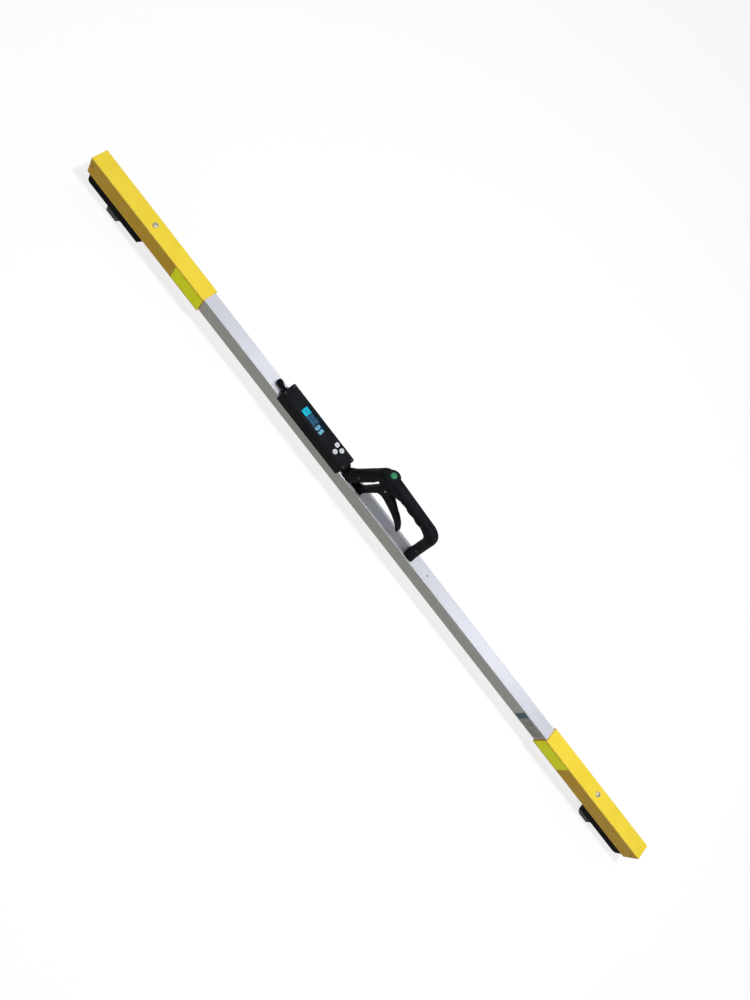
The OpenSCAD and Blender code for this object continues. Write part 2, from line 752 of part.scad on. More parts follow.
module end_plug() {
    difference() {
        union() {
            block(bar_end_x, end_x - plug_recess, bar_w - 2 * plug_clear,
                bar_bot_z + plug_clear, bar_top_z - plug_clear);
            block(bar_end_x - plug_spigot_len, bar_end_x, cavity_w - 2 * plug_clear,
                floor_z + plug_clear, ceil_z - plug_clear);
        }
        for (s = [-1, 1]) translate([plug_screw_x, s * bar_w / 2, bar_bot_z + plug_screw_h])
            rotate([90, 0, 0]) cylinder(h = 2 * plug_screw_len, r = plug_screw_r + hole_clear, center = true);
    }
}

module left_end_plug() {
    color("dimgray") difference() {
        mirror([1, 0, 0]) end_plug();
        rod_along(guide_x0, -bar_end_x + plug_spigot_len + eps, guide_z, guide_r + hole_clear);
    }
}

module right_end_plug() {
    color("dimgray") end_plug();
}

module plug_screws() {
    color("saddlebrown") both_ends() for (s = [-1, 1]) mirror([0, s < 0 ? 1 : 0, 0])
        translate([plug_screw_x, sleeve_w / 2, bar_bot_z + plug_screw_h]) rotate([90, 0, 0]) {
            translate([0, 0, -plug_screw_head_h]) cylinder(h = plug_screw_head_h, r = plug_screw_head_r);
            cylinder(h = plug_screw_len, r = plug_screw_r);
        }
}

module sleeve_screws() {
    color("silver") both_ends() translate([end_x - sleeve_screw_inset, 0, 0]) {
        translate([0, 0, ceil_z]) cylinder(h = bar_wall + sleeve_wall_flat, r = sleeve_screw_r);
        translate([0, 0, bar_top_z + sleeve_wall_flat]) difference() {
            cylinder(h = sleeve_screw_head_h, r = sleeve_screw_head_r);
            for (a = [0, 90]) rotate(a) translate([0, 0, sleeve_screw_head_h])
                cube([sleeve_screw_head_r, screw_slot_w, sleeve_screw_head_h], center = true);
        }
    }
}

module sticker_pair() {
    for (s = [-1, 1]) translate([end_x - sleeve_len, s * (sleeve_w + sticker_t) / 2, bar_mid_z])
        translate([sticker_len / 2, 0, 0]) cube([sticker_len, sticker_t, sticker_h], center = true);
}

module left_stickers() {
    color("yellowgreen") mirror([1, 0, 0]) sticker_pair();
}

module right_stickers() {
    color("yellowgreen") sticker_pair();
}

module side_plate(x0, len) {
    translate([x0, -bar_w / 2 - sticker_t, bar_mid_z - plate_h / 2]) cube([len, sticker_t, plate_h]);
}

module teal_band() {
    color("darkslategray") side_plate(plate_x - band_len, band_len);
}

module data_plate() {
    color("gray") side_plate(plate_x, plate_len);
}

// Rest shoes and seat pads
function left_shoe_screw_xs() = [
    -shoe_end_x + pad_inset + shoe_screw_inset,
    -shoe_end_x + pad_inset + left_pad_len - shoe_screw_inset
];
function right_shoe_screw_xs() = [
    shoe_end_x - pad_inset - shoe_screw_inset,
    shoe_end_x - pad_inset - right_pad_len + shoe_screw_inset
];
function shoe_screw_xs() = concat(left_shoe_screw_xs(), right_shoe_screw_xs());

// One shoe at the +X end with its pad recess and screw holes
module shoe(len, pad_len, screw_xs) {
    difference() {
        across_bar(shoe_w) polygon([
            [shoe_end_x, sleeve_bot_z],
            [shoe_end_x, shoe_bot_z + shoe_chamfer],
            [shoe_end_x - shoe_chamfer, shoe_bot_z],
            [shoe_end_x - len, shoe_bot_z],
            [shoe_end_x - len - shoe_lean, sleeve_bot_z]
        ]);
        pad_block(pad_len, 0);
        for (x = screw_xs) translate([x, 0, 0])
            cylinder(h = sleeve_bot_z + eps, r = shoe_screw_r + hole_clear);
    }
}

module pad_block(len, z_off) {
    block(shoe_end_x - pad_inset - len, shoe_end_x - pad_inset, pad_w, seat_z - z_off, seat_z + pad_t);
}

function mirrored(xs) = [for (x = xs) -x];

module left_shoe() {
    color("black") difference() {
        mirror([1, 0, 0]) shoe(left_shoe_len, left_pad_len, mirrored(left_shoe_screw_xs()));
        stop_slot();
    }
}

module right_shoe() {
    color("black") difference() {
        shoe(right_shoe_len, right_pad_len, right_shoe_screw_xs());
        for (s = [-1, 1]) translate([fixed_bolt_x, s * fixed_bolt_y, 0])
            cylinder(h = shoe_bot_z + fixed_bolt_grip, r = bolt_r + hole_clear);
    }
}

module countersunk(z0, head_r, r, top_z) {
    translate([0, 0, z0]) cylinder(h = head_r - r, r1 = head_r, r2 = r);
    translate([0, 0, z0]) cylinder(h = top_z - z0, r = r);
}

module seat_pad(len, screw_xs) {
    difference() {
        pad_block(len, 0);
        for (x = screw_xs) translate([x, 0, 0]) {
            translate([0, 0, seat_z - eps])
                cylinder(h = eps + shoe_screw_sink, r = shoe_screw_head_r + hole_clear);
            countersunk(seat_z + shoe_screw_sink, shoe_screw_head_r + hole_clear, shoe_screw_r + hole_clear,
                seat_z + pad_t + eps);
        }
    }
}

module left_seat_pad() {
    color("darkgray") mirror([1, 0, 0]) seat_pad(left_pad_len, mirrored(left_shoe_screw_xs()));
}

module right_seat_pad() {
    color("darkgray") seat_pad(right_pad_len, right_shoe_screw_xs());
}

module shoe_screws() {
    color("silver") for (x = shoe_screw_xs()) translate([x, 0, 0])
        countersunk(seat_z + shoe_screw_sink, shoe_screw_head_r, shoe_screw_r, floor_z);
}

// Stops
// Stop block with its gauge face towards +X, recessed for the face plate
module stop_block(face_x, top_len, top_z) {
    difference() {
        across_bar(stop_w) polygon([
            [face_x, 0], [face_x, top_z], [face_x - top_len, top_z], [face_x - top_len + stop_lean, 0]
        ]);
        face_block(face_x);
    }
}

module face_block(face_x) {
    block(face_x - face_t, face_x + face_proud, face_w, face_margin, seat_z - face_margin);
}

module fixed_stop() {
    color("dimgray") difference() {
        stop_block(fixed_body_x, fixed_stop_len, shoe_bot_z);
        for (s = [-1, 1]) translate([fixed_bolt_x, s * fixed_bolt_y, 0]) {
            translate([0, 0, -eps])
                cylinder(h = eps + bolt_sink + bolt_head_h, r = bolt_head_r + bolt_head_clear);
            cylinder(h = shoe_bot_z + eps, r = bolt_r + hole_clear);
        }
    }
}

module fixed_gauge_face() {
    color("silver") face_block(fixed_body_x);
}

module socket_bolt(top_z) {
    translate([0, 0, bolt_sink]) difference() {
        cylinder(h = bolt_head_h, r = bolt_head_r);
        translate([0, 0, -eps]) cylinder(h = eps + bolt_head_h / 2, r = bolt_head_r / 2, $fn = 6);
    }
    translate([0, 0, bolt_sink + bolt_head_h]) cylinder(h = top_z - bolt_sink - bolt_head_h, r = bolt_r);
}

module fixed_stop_bolts() {
    color("silver") for (s = [-1, 1]) translate([fixed_bolt_x, s * fixed_bolt_y, 0])
        socket_bolt(shoe_bot_z + fixed_bolt_grip);
}

module movable_stop() {
    color("dimgray") difference() {
        union() {
            mirror([1, 0, 0]) stop_block(-move_body_x, stop_len, shoe_bot_z - stop_gap);
            block(neck_x, neck_x + neck_len, neck_w, shoe_bot_z - stop_gap - eps, carriage_z);
        }
        for (s = [-1, 1]) translate([bolt_x + s * bolt_pitch / 2, 0, 0]) {
            translate([0, 0, -eps])
                cylinder(h = eps + bolt_sink + bolt_head_h, r = bolt_head_r + bolt_head_clear);
            cylinder(h = carriage_z + eps, r = bolt_r + hole_clear);
        }
    }
}

module movable_gauge_face() {
    color("silver") mirror([1, 0, 0]) face_block(-move_body_x);
}

module movable_stop_bolts() {
    color("silver") for (s = [-1, 1]) translate([bolt_x + s * bolt_pitch / 2, 0, 0])
        socket_bolt(carriage_z + movable_bolt_grip);
}

// Carriage, rods and spring inside the bar
module carriage() {
    color("lightsteelblue") difference() {
        block(carriage_x, carriage_x + carriage_len, cavity_w - 2 * carriage_clear,
            carriage_z, carriage_z + carriage_h);
        rod_along(carriage_x - eps, carriage_x + carriage_len + eps, guide_z, guide_r + run_clear);
        rod_along(rod_x0, carriage_x + carriage_len + eps, rod_z, rod_r + hole_clear);
        for (s = [-1, 1]) translate([bolt_x + s * bolt_pitch / 2, 0, carriage_z - eps])
            cylinder(h = eps + movable_bolt_grip, r = bolt_r + hole_clear);
    }
}

module guide_rod() {
    color("silver") rod_along(guide_x0, bulkhead_x + bulkhead_t / 2, guide_z, guide_r);
}

module bar_insert(x, t) {
    block(x - t / 2, x + t / 2, cavity_w - 2 * plug_clear, floor_z + plug_clear, ceil_z - plug_clear);
}

module bulkhead() {
    color("slategray") difference() {
        bar_insert(bulkhead_x, bulkhead_t);
        rod_along(bulkhead_x - bulkhead_t, bulkhead_x + bulkhead_t, guide_z, guide_r + hole_clear);
        rod_along(bulkhead_x - bulkhead_t, bulkhead_x + bulkhead_t, rod_z, rod_r + bulkhead_clear);
        block(bulkhead_x - bulkhead_t, bulkhead_x + bulkhead_t, scale_w + 2 * scale_clear,
            ceil_z - scale_t - scale_clear, ceil_z);
    }
}

module rod_guides() {
    color("white") for (x = [outer_guide_x, inner_guide_x]) difference() {
        bar_insert(-x, bulkhead_t);
        rod_along(-x - bulkhead_t, -x + bulkhead_t, rod_z, rod_r + run_clear);
    }
}

// Point i round the wire's section at step k of the spring
function spring_point(k, i) =
    let (turn = 360 * k / spring_steps, side = 360 * i / spring_sides)
    let (r = spring_coil_r + spring_wire_r * cos(side))
    [
        spring_x0 + spring_wire_r + spring_pitch * k / spring_steps + spring_wire_r * sin(side),
        r * cos(turn),
        guide_z + r * sin(turn)
    ];

module return_spring() {
    last = spring_turns * spring_steps;
    points = [for (k = [0:last], i = [0:spring_sides - 1]) spring_point(k, i)];
    quads = [
        for (k = [0:last - 1], i = [0:spring_sides - 1])
            let (j = (i + 1) % spring_sides, a = k * spring_sides, b = a + spring_sides)
            [a + i, b + i, b + j, a + j]
    ];
    cap0 = [for (i = [0:spring_sides - 1]) i];
    cap1 = [for (i = [spring_sides - 1:-1:0]) last * spring_sides + i];
    color("silver") polyhedron(points = points, faces = concat(quads, [cap0, cap1]));
}

module linear_scale() {
    color("goldenrod") block(carriage_x, carriage_x + scale_len, scale_w, ceil_z - scale_t, ceil_z);
}

module read_head() {
    x0 = carriage_x + (carriage_len - head_len) / 2;
    color("green") block(x0, x0 + head_len, head_w, carriage_z + carriage_h, ceil_z - scale_t - read_gap);
}

module pull_rod() {
    color("silver") rod_along(rod_x0, rod_x1, rod_z, rod_r);
}

module lock_nut() {
    x0 = carriage_x + carriage_len;
    color("silver") difference() {
        translate([x0, 0, rod_z]) rotate([0, 90, 0]) cylinder(h = nut_t, r = nut_w / 2, $fn = 6);
        rod_along(x0 - eps, x0 + nut_t + eps, rod_z, rod_r + hole_clear);
    }
}

module rod_clevis() {
    color("lightsteelblue") difference() {
        block(pin_x - clevis_half - clevis_shank, pin_x + clevis_half, clevis_w,
            clevis_slot_z0 - clevis_wall, clevis_slot_z1 + clevis_wall);
        block(pin_x - clevis_half, pin_x + clevis_half + eps, groove_w,
            clevis_slot_z0 - clevis_wall - eps, clevis_slot_z1 + clevis_wall + eps);
        block(pin_x - pin_r - pin_play, pin_x + pin_r + pin_play, clevis_w + 2 * eps,
            clevis_slot_z0, clevis_slot_z1);
        rod_along(pin_x - clevis_half - clevis_shank - eps, rod_x1, rod_z, rod_r + hole_clear);
    }
}

// Trigger lever, drawn about its pivot
module finger_blade() {
    translate(blade_centre) intersection() {
        difference() {
            circle(blade_r + blade_d / 2);
            circle(blade_r - blade_d / 2);
        }
        polygon([
            [0, 0],
            unit(blade_dir + 90 - blade_half) * 2 * blade_r,
            unit(blade_dir + 90 + blade_half) * 2 * blade_r
        ]);
    }
}

// Web from the hub and the arm to the start of the finger blade
module blade_root() {
    root = blade_start + unit(blade_dir + blade_half) * web_lap;
    side = unit(blade_dir + blade_half + 90) * (blade_d / 2 - blade_tip_step);
    polygon([unit(blade_dir + 90) * (hub_r - blade_tip_step), root + side, root - side,
        unit(arm_dir) * web_len, [0, 0]]);
}

module lever_arm() {
    rotate(arm_dir) translate([0, -arm_w / 2]) square([arm_len, arm_w]);
}

module trigger_lever() {
    color("black") translate([pivot_x, 0, pivot_z]) difference() {
        union() {
            across_bar(lever_t) circle(hub_r);
            across_bar(lever_t) lever_arm();
            across_bar(lever_t) translate(unit(arm_dir) * arm_len) circle(arm_end_r);
            across_bar(lever_t) blade_root();
            across_bar(lever_t) finger_blade();
            across_bar(lever_t) translate(blade_end) circle(blade_d / 2 - blade_tip_step);
        }
        rod_across(0, 0, pivot_r + run_clear, 2 * lever_t);
        rod_across(pin_x - pivot_x, pin_z - pivot_z, pin_r + hole_clear, 2 * lever_t);
    }
}

module lever_end_pin() {
    color("silver") rod_across(pin_x, pin_z, pin_r, clevis_w);
}

module pivot_pin() {
    color("silver") rod_across(pivot_x, pivot_z, pivot_r, lever_t + 2 * cheek_play + 2 * ear_t);
}

module slot_liner() {
    color("black") difference() {
        union() {
            block(liner_x0 - liner_t, liner_x1 + liner_t, liner_w + 2 * liner_t, ceil_z, bar_top_z);
            block(liner_x0 - liner_flange, liner_x1 + liner_flange, liner_w + 2 * liner_flange,
                bar_top_z, bar_top_z + liner_t);
        }
        block(liner_x0, liner_x1, liner_w, ceil_z - eps, bar_top_z + liner_t + eps);
    }
}

// Handle
// Section of the near half of the handle, drawn as across by depth; a wall of 0 makes it solid
module half_section(w, d, r, wall) {
    intersection() {
        difference() {
            rounded_rect(w, d, r);
            if (wall > 0) rounded_rect(w - 2 * wall, d - 2 * wall, r - wall);
        }
        translate([-w, -d]) square([w, 2 * d]);
    }
}

module swept_run(a, b, cuts) {
    translate([a[0], 0, a[1]]) rotate([0, -heading(a, b), 0])
        along_bar(cuts[0], norm(b - a) - cuts[0] - cuts[1]) children();
}

module swept_bend(centre, from_dir, to_dir) {
    translate([centre[0], 0, centre[1]]) rotate([90, 0, 0]) rotate(to_dir + 90)
        rotate_extrude(angle = from_dir - to_dir) translate([bend_r, 0]) rotate(-90)
            half_section(grip_w + 2 * bend_over, grip_d + 2 * bend_over, grip_r + bend_over,
                grip_wall + 2 * bend_over);
}

// Near half of the handle's shell along its centre line, from below the feet
module handle_shell() {
    left_cut = bend_r * tan((left_leg_dir - grip_dir) / 2) - bend_lap;
    right_cut = bend_r * tan((grip_dir - right_leg_dir) / 2) - bend_lap;
    swept_run(path_left_foot, path_left_corner, [-foot_h, left_cut]) shell_section();
    swept_bend(left_bend, left_leg_dir, grip_dir);
    swept_run(path_left_corner, path_right_corner, [left_cut, right_cut]) shell_section();
    swept_bend(right_bend, grip_dir, right_leg_dir);
    swept_run(path_right_corner, path_right_foot, [right_cut, -foot_h]) shell_section();
}

module shell_section() {
    half_section(grip_w, grip_d, grip_r, grip_wall);
}

// Filling of the feet, sunk half into the shell's wall
module foot_section() {
    half_section(grip_w - grip_wall, grip_d - grip_wall, grip_r - grip_wall / 2, 0);
}

module foot_filling() {
    swept_run(path_left_foot, path_left_corner, [-foot_h, 0]) foot_section();
    swept_run(path_right_corner, path_right_foot, [0, -foot_h]) foot_section();
}

module slab(z0, z1) {
    block(left_foot_x - 2 * grip_d, right_foot_x + 2 * grip_d, 3 * grip_w, z0, z1);
}

// Cheek that carries the lever's pivot pin on the near side
module pivot_ear() {
    leg_point = path_left_corner - unit(left_leg_dir) * ear_down;
    grip_point = path_left_corner + unit(grip_dir) * ear_along;
    pivot = [pivot_x, pivot_z];
    translate([0, -(groove_w + ear_t) / 2, 0]) across_bar(ear_t) {
        translate(pivot) circle(ear_r);
        polygon([leg_point, path_left_corner, grip_point,
            pivot + unit(ear_front_dir) * ear_r, pivot + unit(ear_back_dir) * ear_r]);
    }
}

module thumb_axis() {
    translate([left_bend[0], 0, left_bend[1]]) rotate([0, 90 - thumb_dir, 0]) children();
}

module near_side() {
    translate([0, -1.5 * grip_w, 0]) slab(bar_top_z, pivot_z + 2 * pivot_h);
}

// Half of the handle on the near side; the near half takes the screw heads, the far half their threads
module handle_half(heads) {
    difference() {
        union() {
            intersection() {
                handle_shell();
                slab(foot_z, pivot_z + 2 * pivot_h);
            }
            intersection() {
                foot_filling();
                slab(foot_z, foot_z + foot_h);
            }
            for (p = grip_screw_points) translate([p[0], 0, p[1]]) rotate([90, 0, 0])
                cylinder(h = grip_w / 2 - grip_wall / 2, r = grip_boss_r);
            pivot_ear();
            intersection() {
                thumb_axis() translate([0, 0, thumb_boss_in])
                    cylinder(h = thumb_surface_r - thumb_boss_in, r = thumb_boss_r);
                near_side();
            }
        }
        rod_across(pivot_x, pivot_z, pivot_r + hole_clear, 2 * grip_w);
        thumb_axis() {
            translate([0, 0, thumb_boss_in - grip_wall])
                cylinder(h = thumb_surface_r - thumb_boss_in + grip_wall + eps, r = thumb_hole_r);
            translate([0, 0, thumb_room_r])
                cylinder(h = thumb_boss_in - thumb_room_r, r = thumb_flange_r + button_clear);
        }
        foot_screw_holes(foot_screw_r + hole_clear, foot_z - eps, foot_z + foot_screw_grip);
        for (p = grip_screw_points) translate([p[0], 0, p[1]]) rotate([90, 0, 0]) {
            if (heads) translate([0, 0, grip_w / 2 - grip_screw_head_h])
                cylinder(h = grip_screw_head_h + eps, r = grip_screw_head_r + hole_clear);
            translate([0, 0, -eps])
                cylinder(h = eps + grip_w / 2 - (heads ? 0 : grip_wall), r = grip_screw_r + hole_clear);
        }
    }
}

module handle_near_half() {
    color("black") handle_half(true);
}

module handle_far_half() {
    color("black") mirror([0, 1, 0]) handle_half(false);
}

module handle_screws() {
    color("silver") for (p = grip_screw_points) translate([p[0], 0, p[1]]) rotate([90, 0, 0]) {
        translate([0, 0, grip_w / 2 - grip_screw_head_h]) difference() {
            cylinder(h = grip_screw_head_h, r = grip_screw_head_r);
            translate([0, 0, grip_screw_head_h / 2])
                cylinder(h = grip_screw_head_h, r = grip_screw_head_r / 2, $fn = 6);
        }
        translate([0, 0, -grip_w / 2 + grip_wall])
            cylinder(h = grip_w - grip_wall - grip_screw_head_h, r = grip_screw_r);
    }
}

// The foot screws cross their leg's centre line halfway up their grip
function foot_screw_xs() = [
    along(path_left_foot, path_left_corner, (gasket_t + foot_screw_grip / 2) / left_corner_h)[0],
    along(path_right_foot, path_right_corner, (gasket_t + foot_screw_grip / 2) / right_corner_h)[0]
];

module foot_screw_holes(r, z0, z1) {
    for (x = foot_screw_xs(), s = [-1, 1]) translate([x, s * foot_screw_y, z0]) cylinder(h = z1 - z0, r = r);
}

module foot_gaskets() {
    color("black") difference() {
        for (leg = [[left_foot_x, left_leg_dir], [right_foot_x, right_leg_dir]]) {
            translate([leg[0], 0, bar_top_z]) linear_extrude(gasket_t)
                rounded_rect(gasket_len(leg[1]), grip_w + 2 * gasket_lip, grip_r);
        }
        foot_screw_holes(foot_screw_r + hole_clear, bar_top_z - eps, foot_z + eps);
    }
}

module foot_screws() {
    color("silver") {
        foot_screw_holes(foot_screw_r, ceil_z, foot_z + foot_screw_grip);
        foot_screw_holes(foot_screw_head_r, ceil_z - foot_screw_head_h, ceil_z);
    }
}

module thumb_button() {
    color("seagreen") thumb_axis() {
        translate([0, 0, thumb_bottom_r]) cylinder(h = thumb_flange_t, r = thumb_flange_r);
        translate([0, 0, thumb_bottom_r])
            cylinder(h = thumb_surface_r + thumb_proud - thumb_bottom_r, r = thumb_r);
    }
}

module micro_switch() {
    height = thumb_bottom_r - thumb_travel - switch_gap - switch_bottom_r;
    color("dimgray") thumb_axis() translate([0, 0, switch_bottom_r + height / 2])
        cube([switch_len, switch_w, height], center = true);
}

// Display box on its saddle
function box_screw_xs() = [for (s = [-1, 1]) box_x + s * (box_len / 2 - box_screw_inset)];
function box_corners(inset) = [
    for (sx = [-1, 1], sy = [-1, 1]) [box_x + sx * (box_len / 2 - inset), sy * (box_w / 2 - inset)]
];

module box_prism(inset, r, z0, z1) {
    translate([box_x, 0, z0]) linear_extrude(z1 - z0) rounded_rect(box_len - 2 * inset, box_w - 2 * inset, r);
}

module display_base() {
    color("black") difference() {
        union() {
            difference() {
                box_prism(0, box_corner_r, bar_top_z - skirt_h, split_z);
                box_prism(box_wall, box_corner_r - box_wall / 2, box_floor_z, split_z + eps);
                block(box_left_x - eps, box_left_x + box_len + eps, bar_w,
                    bar_top_z - skirt_h - eps, bar_top_z);
            }
            for (c = box_corners(cover_screw_inset)) translate([c[0], c[1], bar_top_z])
                cylinder(h = split_z - bar_top_z, r = cover_screw_inset - box_wall / 2);
            for (sx = [-1, 1], sy = [-1, 1])
                translate([box_x + sx * post_x, sy * (board_w / 2 - post_r), bar_top_z])
                    cylinder(h = board_z - bar_top_z, r = post_r);
        }
        for (c = box_corners(cover_screw_inset)) translate([c[0], c[1], split_z - cover_screw_grip - eps])
            cylinder(h = cover_screw_grip + 2 * eps, r = box_screw_r + hole_clear);
        for (x = box_screw_xs()) translate([x, 0, bar_top_z - eps])
            cylinder(h = box_wall + 2 * eps, r = box_screw_r + hole_clear);
        rod_along(box_left_x - eps, box_left_x + box_wall + eps, toggle_z, bushing_r + hole_clear, toggle_y);
    }
}

module display_cover() {
    color("black") difference() {
        union() {
            difference() {
                box_prism(0, box_corner_r, split_z, box_top_z);
                box_prism(box_wall, box_corner_r - box_wall / 2, split_z - eps, cover_under_z);
            }
            for (c = box_corners(cover_screw_inset)) translate([c[0], c[1], split_z])
                cylinder(h = box_top_z - split_z - cover_t / 2, r = cover_screw_inset - box_wall / 2);
        }
        translate([box_x + window_x, 0, cover_under_z - eps]) linear_extrude(cover_t + 2 * eps)
            rounded_rect(window_len, window_w, window_r);
        for (p = key_places) translate([box_x + keys_x + p[0], p[1], cover_under_z - eps])
            cylinder(h = cover_t + 2 * eps, r = key_r + button_clear);
        for (c = box_corners(cover_screw_inset)) translate([c[0], c[1], 0]) {
            translate([0, 0, split_z - eps])
                cylinder(h = cover_side_h + 2 * eps, r = box_screw_r + hole_clear);
            translate([0, 0, box_top_z - cover_t / 2])
                cylinder(h = cover_t, r = box_screw_head_r + hole_clear);
        }
    }
}

module window_lens() {
    color("darkslategray") translate([box_x + window_x, 0, 0]) {
        translate([0, 0, lens_lip_z]) linear_extrude(lens_lip_t)
            rounded_rect(window_len + 2 * lens_lip, window_w + 2 * lens_lip, window_r);
        translate([0, 0, cover_under_z]) linear_extrude(cover_t - lens_recess)
            rounded_rect(window_len - 2 * lens_clear, window_w - 2 * lens_clear, window_r);
    }
}

module display_module() {
    x = box_x + window_x;
    half = window_len / 2 + lens_lip;
    color("steelblue") block(x - half, x + half, board_w - 2 * module_margin,
        board_top_z, lens_lip_z - panel_gap);
}

module circuit_board() {
    color("darkgreen") block(box_x - board_len / 2, box_x + board_len / 2, board_w, board_z, board_top_z);
}

module battery() {
    color("royalblue") block(box_x - battery_len / 2, box_x + battery_len / 2, battery_w,
        box_floor_z, box_floor_z + battery_h);
}

module key_mat() {
    half = key_pitch / 2 + key_flange_r;
    color("gray") {
        block(box_x + keys_x - half, box_x + keys_x + half, board_w - 2 * mat_margin, board_top_z, mat_top_z);
        for (p = key_places) translate([box_x + keys_x + p[0], p[1], board_top_z])
            cylinder(h = mat_t + dome_h, r = dome_r);
    }
}

module box_screws() {
    color("silver") for (x = box_screw_xs()) translate([x, 0, 0]) {
        translate([0, 0, ceil_z]) cylinder(h = bar_wall + box_wall, r = box_screw_r);
        translate([0, 0, box_floor_z]) cylinder(h = box_screw_head_h, r = box_screw_head_r);
    }
}

module cover_screws() {
    color("dimgray") for (c = box_corners(cover_screw_inset)) translate([c[0], c[1], 0]) {
        translate([0, 0, split_z - cover_screw_grip])
            cylinder(h = cover_screw_grip + cover_side_h - cover_t / 2, r = box_screw_r);
        translate([0, 0, box_top_z - cover_t / 2]) difference() {
            cylinder(h = cover_t / 2, r = box_screw_head_r);
            translate([0, 0, cover_t / 4]) cylinder(h = cover_t, r = box_screw_head_r / 2, $fn = 6);
        }
    }
}

module key_cap(i) {
    p = key_places[i];
    color("white") translate([box_x + keys_x + p[0], p[1], 0]) {
        translate([0, 0, key_bottom_z]) cylinder(h = box_top_z + key_proud - key_bottom_z, r = key_r);
        translate([0, 0, key_flange_z]) cylinder(h = key_flange_t, r = key_flange_r);
    }
}

module key_left() {
    key_cap(0);
}

module key_front() {
    key_cap(1);
}

module key_right() {
    key_cap(2);
}

// Toggle at the box's left end
module toggle_switch() {
    body_half = bushing_r + toggle_body_margin;
    color("silver") difference() {
        union() {
            rod_along(box_left_x - bushing_len, box_left_x + box_wall, toggle_z, bushing_r, toggle_y);
            block(box_left_x + box_wall, box_left_x + box_wall + toggle_body_len, 2 * body_half,
                toggle_z - body_half, toggle_z + body_half, toggle_y);
            translate([box_left_x - toggle_nut_t, toggle_y, toggle_z]) rotate([0, 90, 0])
                cylinder(h = toggle_nut_t, r = bushing_r + toggle_nut_margin, $fn = 6);
        }
        rod_along(box_left_x - bushing_len - eps, toggle_x + toggle_bore_r, toggle_z,
            toggle_bore_r, toggle_y);
    }
}

module toggle_boot() {
    neck_from = bushing_len - toggle_out + boot_gap;
    reach = boot_reach - toggle_out;
    color("black") translate([toggle_x, toggle_y, toggle_z]) rotate([0, -90, -toggle_tilt]) {
        rotate([0, 90, 0]) cylinder(h = knuckle_h, r = knuckle_r, center = true);
        cylinder(h = neck_from, r = stem_r);
        translate([0, 0, neck_from])
            cylinder(h = reach - neck_from - boot_head_r, r1 = boot_neck_r, r2 = boot_head_r);
        translate([0, 0, reach - boot_head_r]) intersection() {
            sphere(boot_head_r);
            translate([0, 0, boot_head_r]) cube(2 * boot_head_r, center = true);
        }
    }
}

// Tilt sensor in the bar
module tilt_sensor() {
    color("darkgreen") difference() {
        block(sensor_x - sensor_len / 2, sensor_x + sensor_len / 2, sensor_w,
            ceil_z - sensor_h, ceil_z);
        translate([sensor_x, 0, ceil_z - sensor_screw_grip])
            cylinder(h = sensor_screw_grip + eps, r = sensor_screw_r + hole_clear);
    }
}

module sensor_screw() {
    color("dimgray") difference() {
        translate([sensor_x, 0, ceil_z - sensor_screw_grip])
            cylinder(h = sensor_screw_grip + bar_wall, r = sensor_screw_r);
        translate([sensor_x, 0, bar_top_z - bar_wall / 2])
            cylinder(h = bar_wall, r = sensor_screw_r / 2, $fn = 6);
    }
}

bar_extrusion();
left_end_sleeve();
right_end_sleeve();
left_end_plug();
right_end_plug();
plug_screws();
sleeve_screws();
left_stickers();
right_stickers();
teal_band();
data_plate();
left_shoe();
right_shoe();
left_seat_pad();
right_seat_pad();
shoe_screws();
fixed_stop();
fixed_gauge_face();
fixed_stop_bolts();
guide_rod();
bulkhead();
return_spring();
rod_guides();
linear_scale();
tilt_sensor();
sensor_screw();
slot_liner();
display_base();
display_cover();
window_lens();
display_module();
circuit_board();
battery();
key_mat();
box_screws();
cover_screws();
toggle_switch();
handle_near_half();
handle_far_half();
handle_screws();
foot_gaskets();
foot_screws();
pivot_pin();
micro_switch();
movable_stop();
movable_gauge_face();
movable_stop_bolts();
carriage();
read_head();
pull_rod();
lock_nut();
rod_clevis();
trigger_lever();
lever_end_pin();
key_left();
key_front();
key_right();
thumb_button();
toggle_boot();
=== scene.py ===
"""Looks of the track gauge bar: moulded pieces, materials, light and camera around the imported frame."""

import json
import math

import bmesh
import bpy
from mathutils import Matrix, Vector


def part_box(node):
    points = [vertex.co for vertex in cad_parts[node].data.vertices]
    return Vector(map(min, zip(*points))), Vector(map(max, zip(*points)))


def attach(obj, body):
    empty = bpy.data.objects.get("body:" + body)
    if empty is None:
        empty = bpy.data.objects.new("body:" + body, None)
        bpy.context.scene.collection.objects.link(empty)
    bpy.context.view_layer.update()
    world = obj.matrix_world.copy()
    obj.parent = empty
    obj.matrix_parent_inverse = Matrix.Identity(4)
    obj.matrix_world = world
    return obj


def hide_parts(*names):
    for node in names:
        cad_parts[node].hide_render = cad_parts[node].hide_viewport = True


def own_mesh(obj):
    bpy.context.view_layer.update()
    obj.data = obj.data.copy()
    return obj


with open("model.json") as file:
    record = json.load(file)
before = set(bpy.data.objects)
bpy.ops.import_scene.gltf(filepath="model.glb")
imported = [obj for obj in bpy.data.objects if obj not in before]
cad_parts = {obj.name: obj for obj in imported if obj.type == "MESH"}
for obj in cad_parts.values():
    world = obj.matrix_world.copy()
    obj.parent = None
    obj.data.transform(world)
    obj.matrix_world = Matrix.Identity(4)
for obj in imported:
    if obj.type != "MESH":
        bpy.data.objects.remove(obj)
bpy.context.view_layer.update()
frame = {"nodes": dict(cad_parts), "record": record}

# Lengths are in millimetres, except in the studio
MM = 0.001
UP = (0, 0, 1)
SHARP_ANGLE = 40

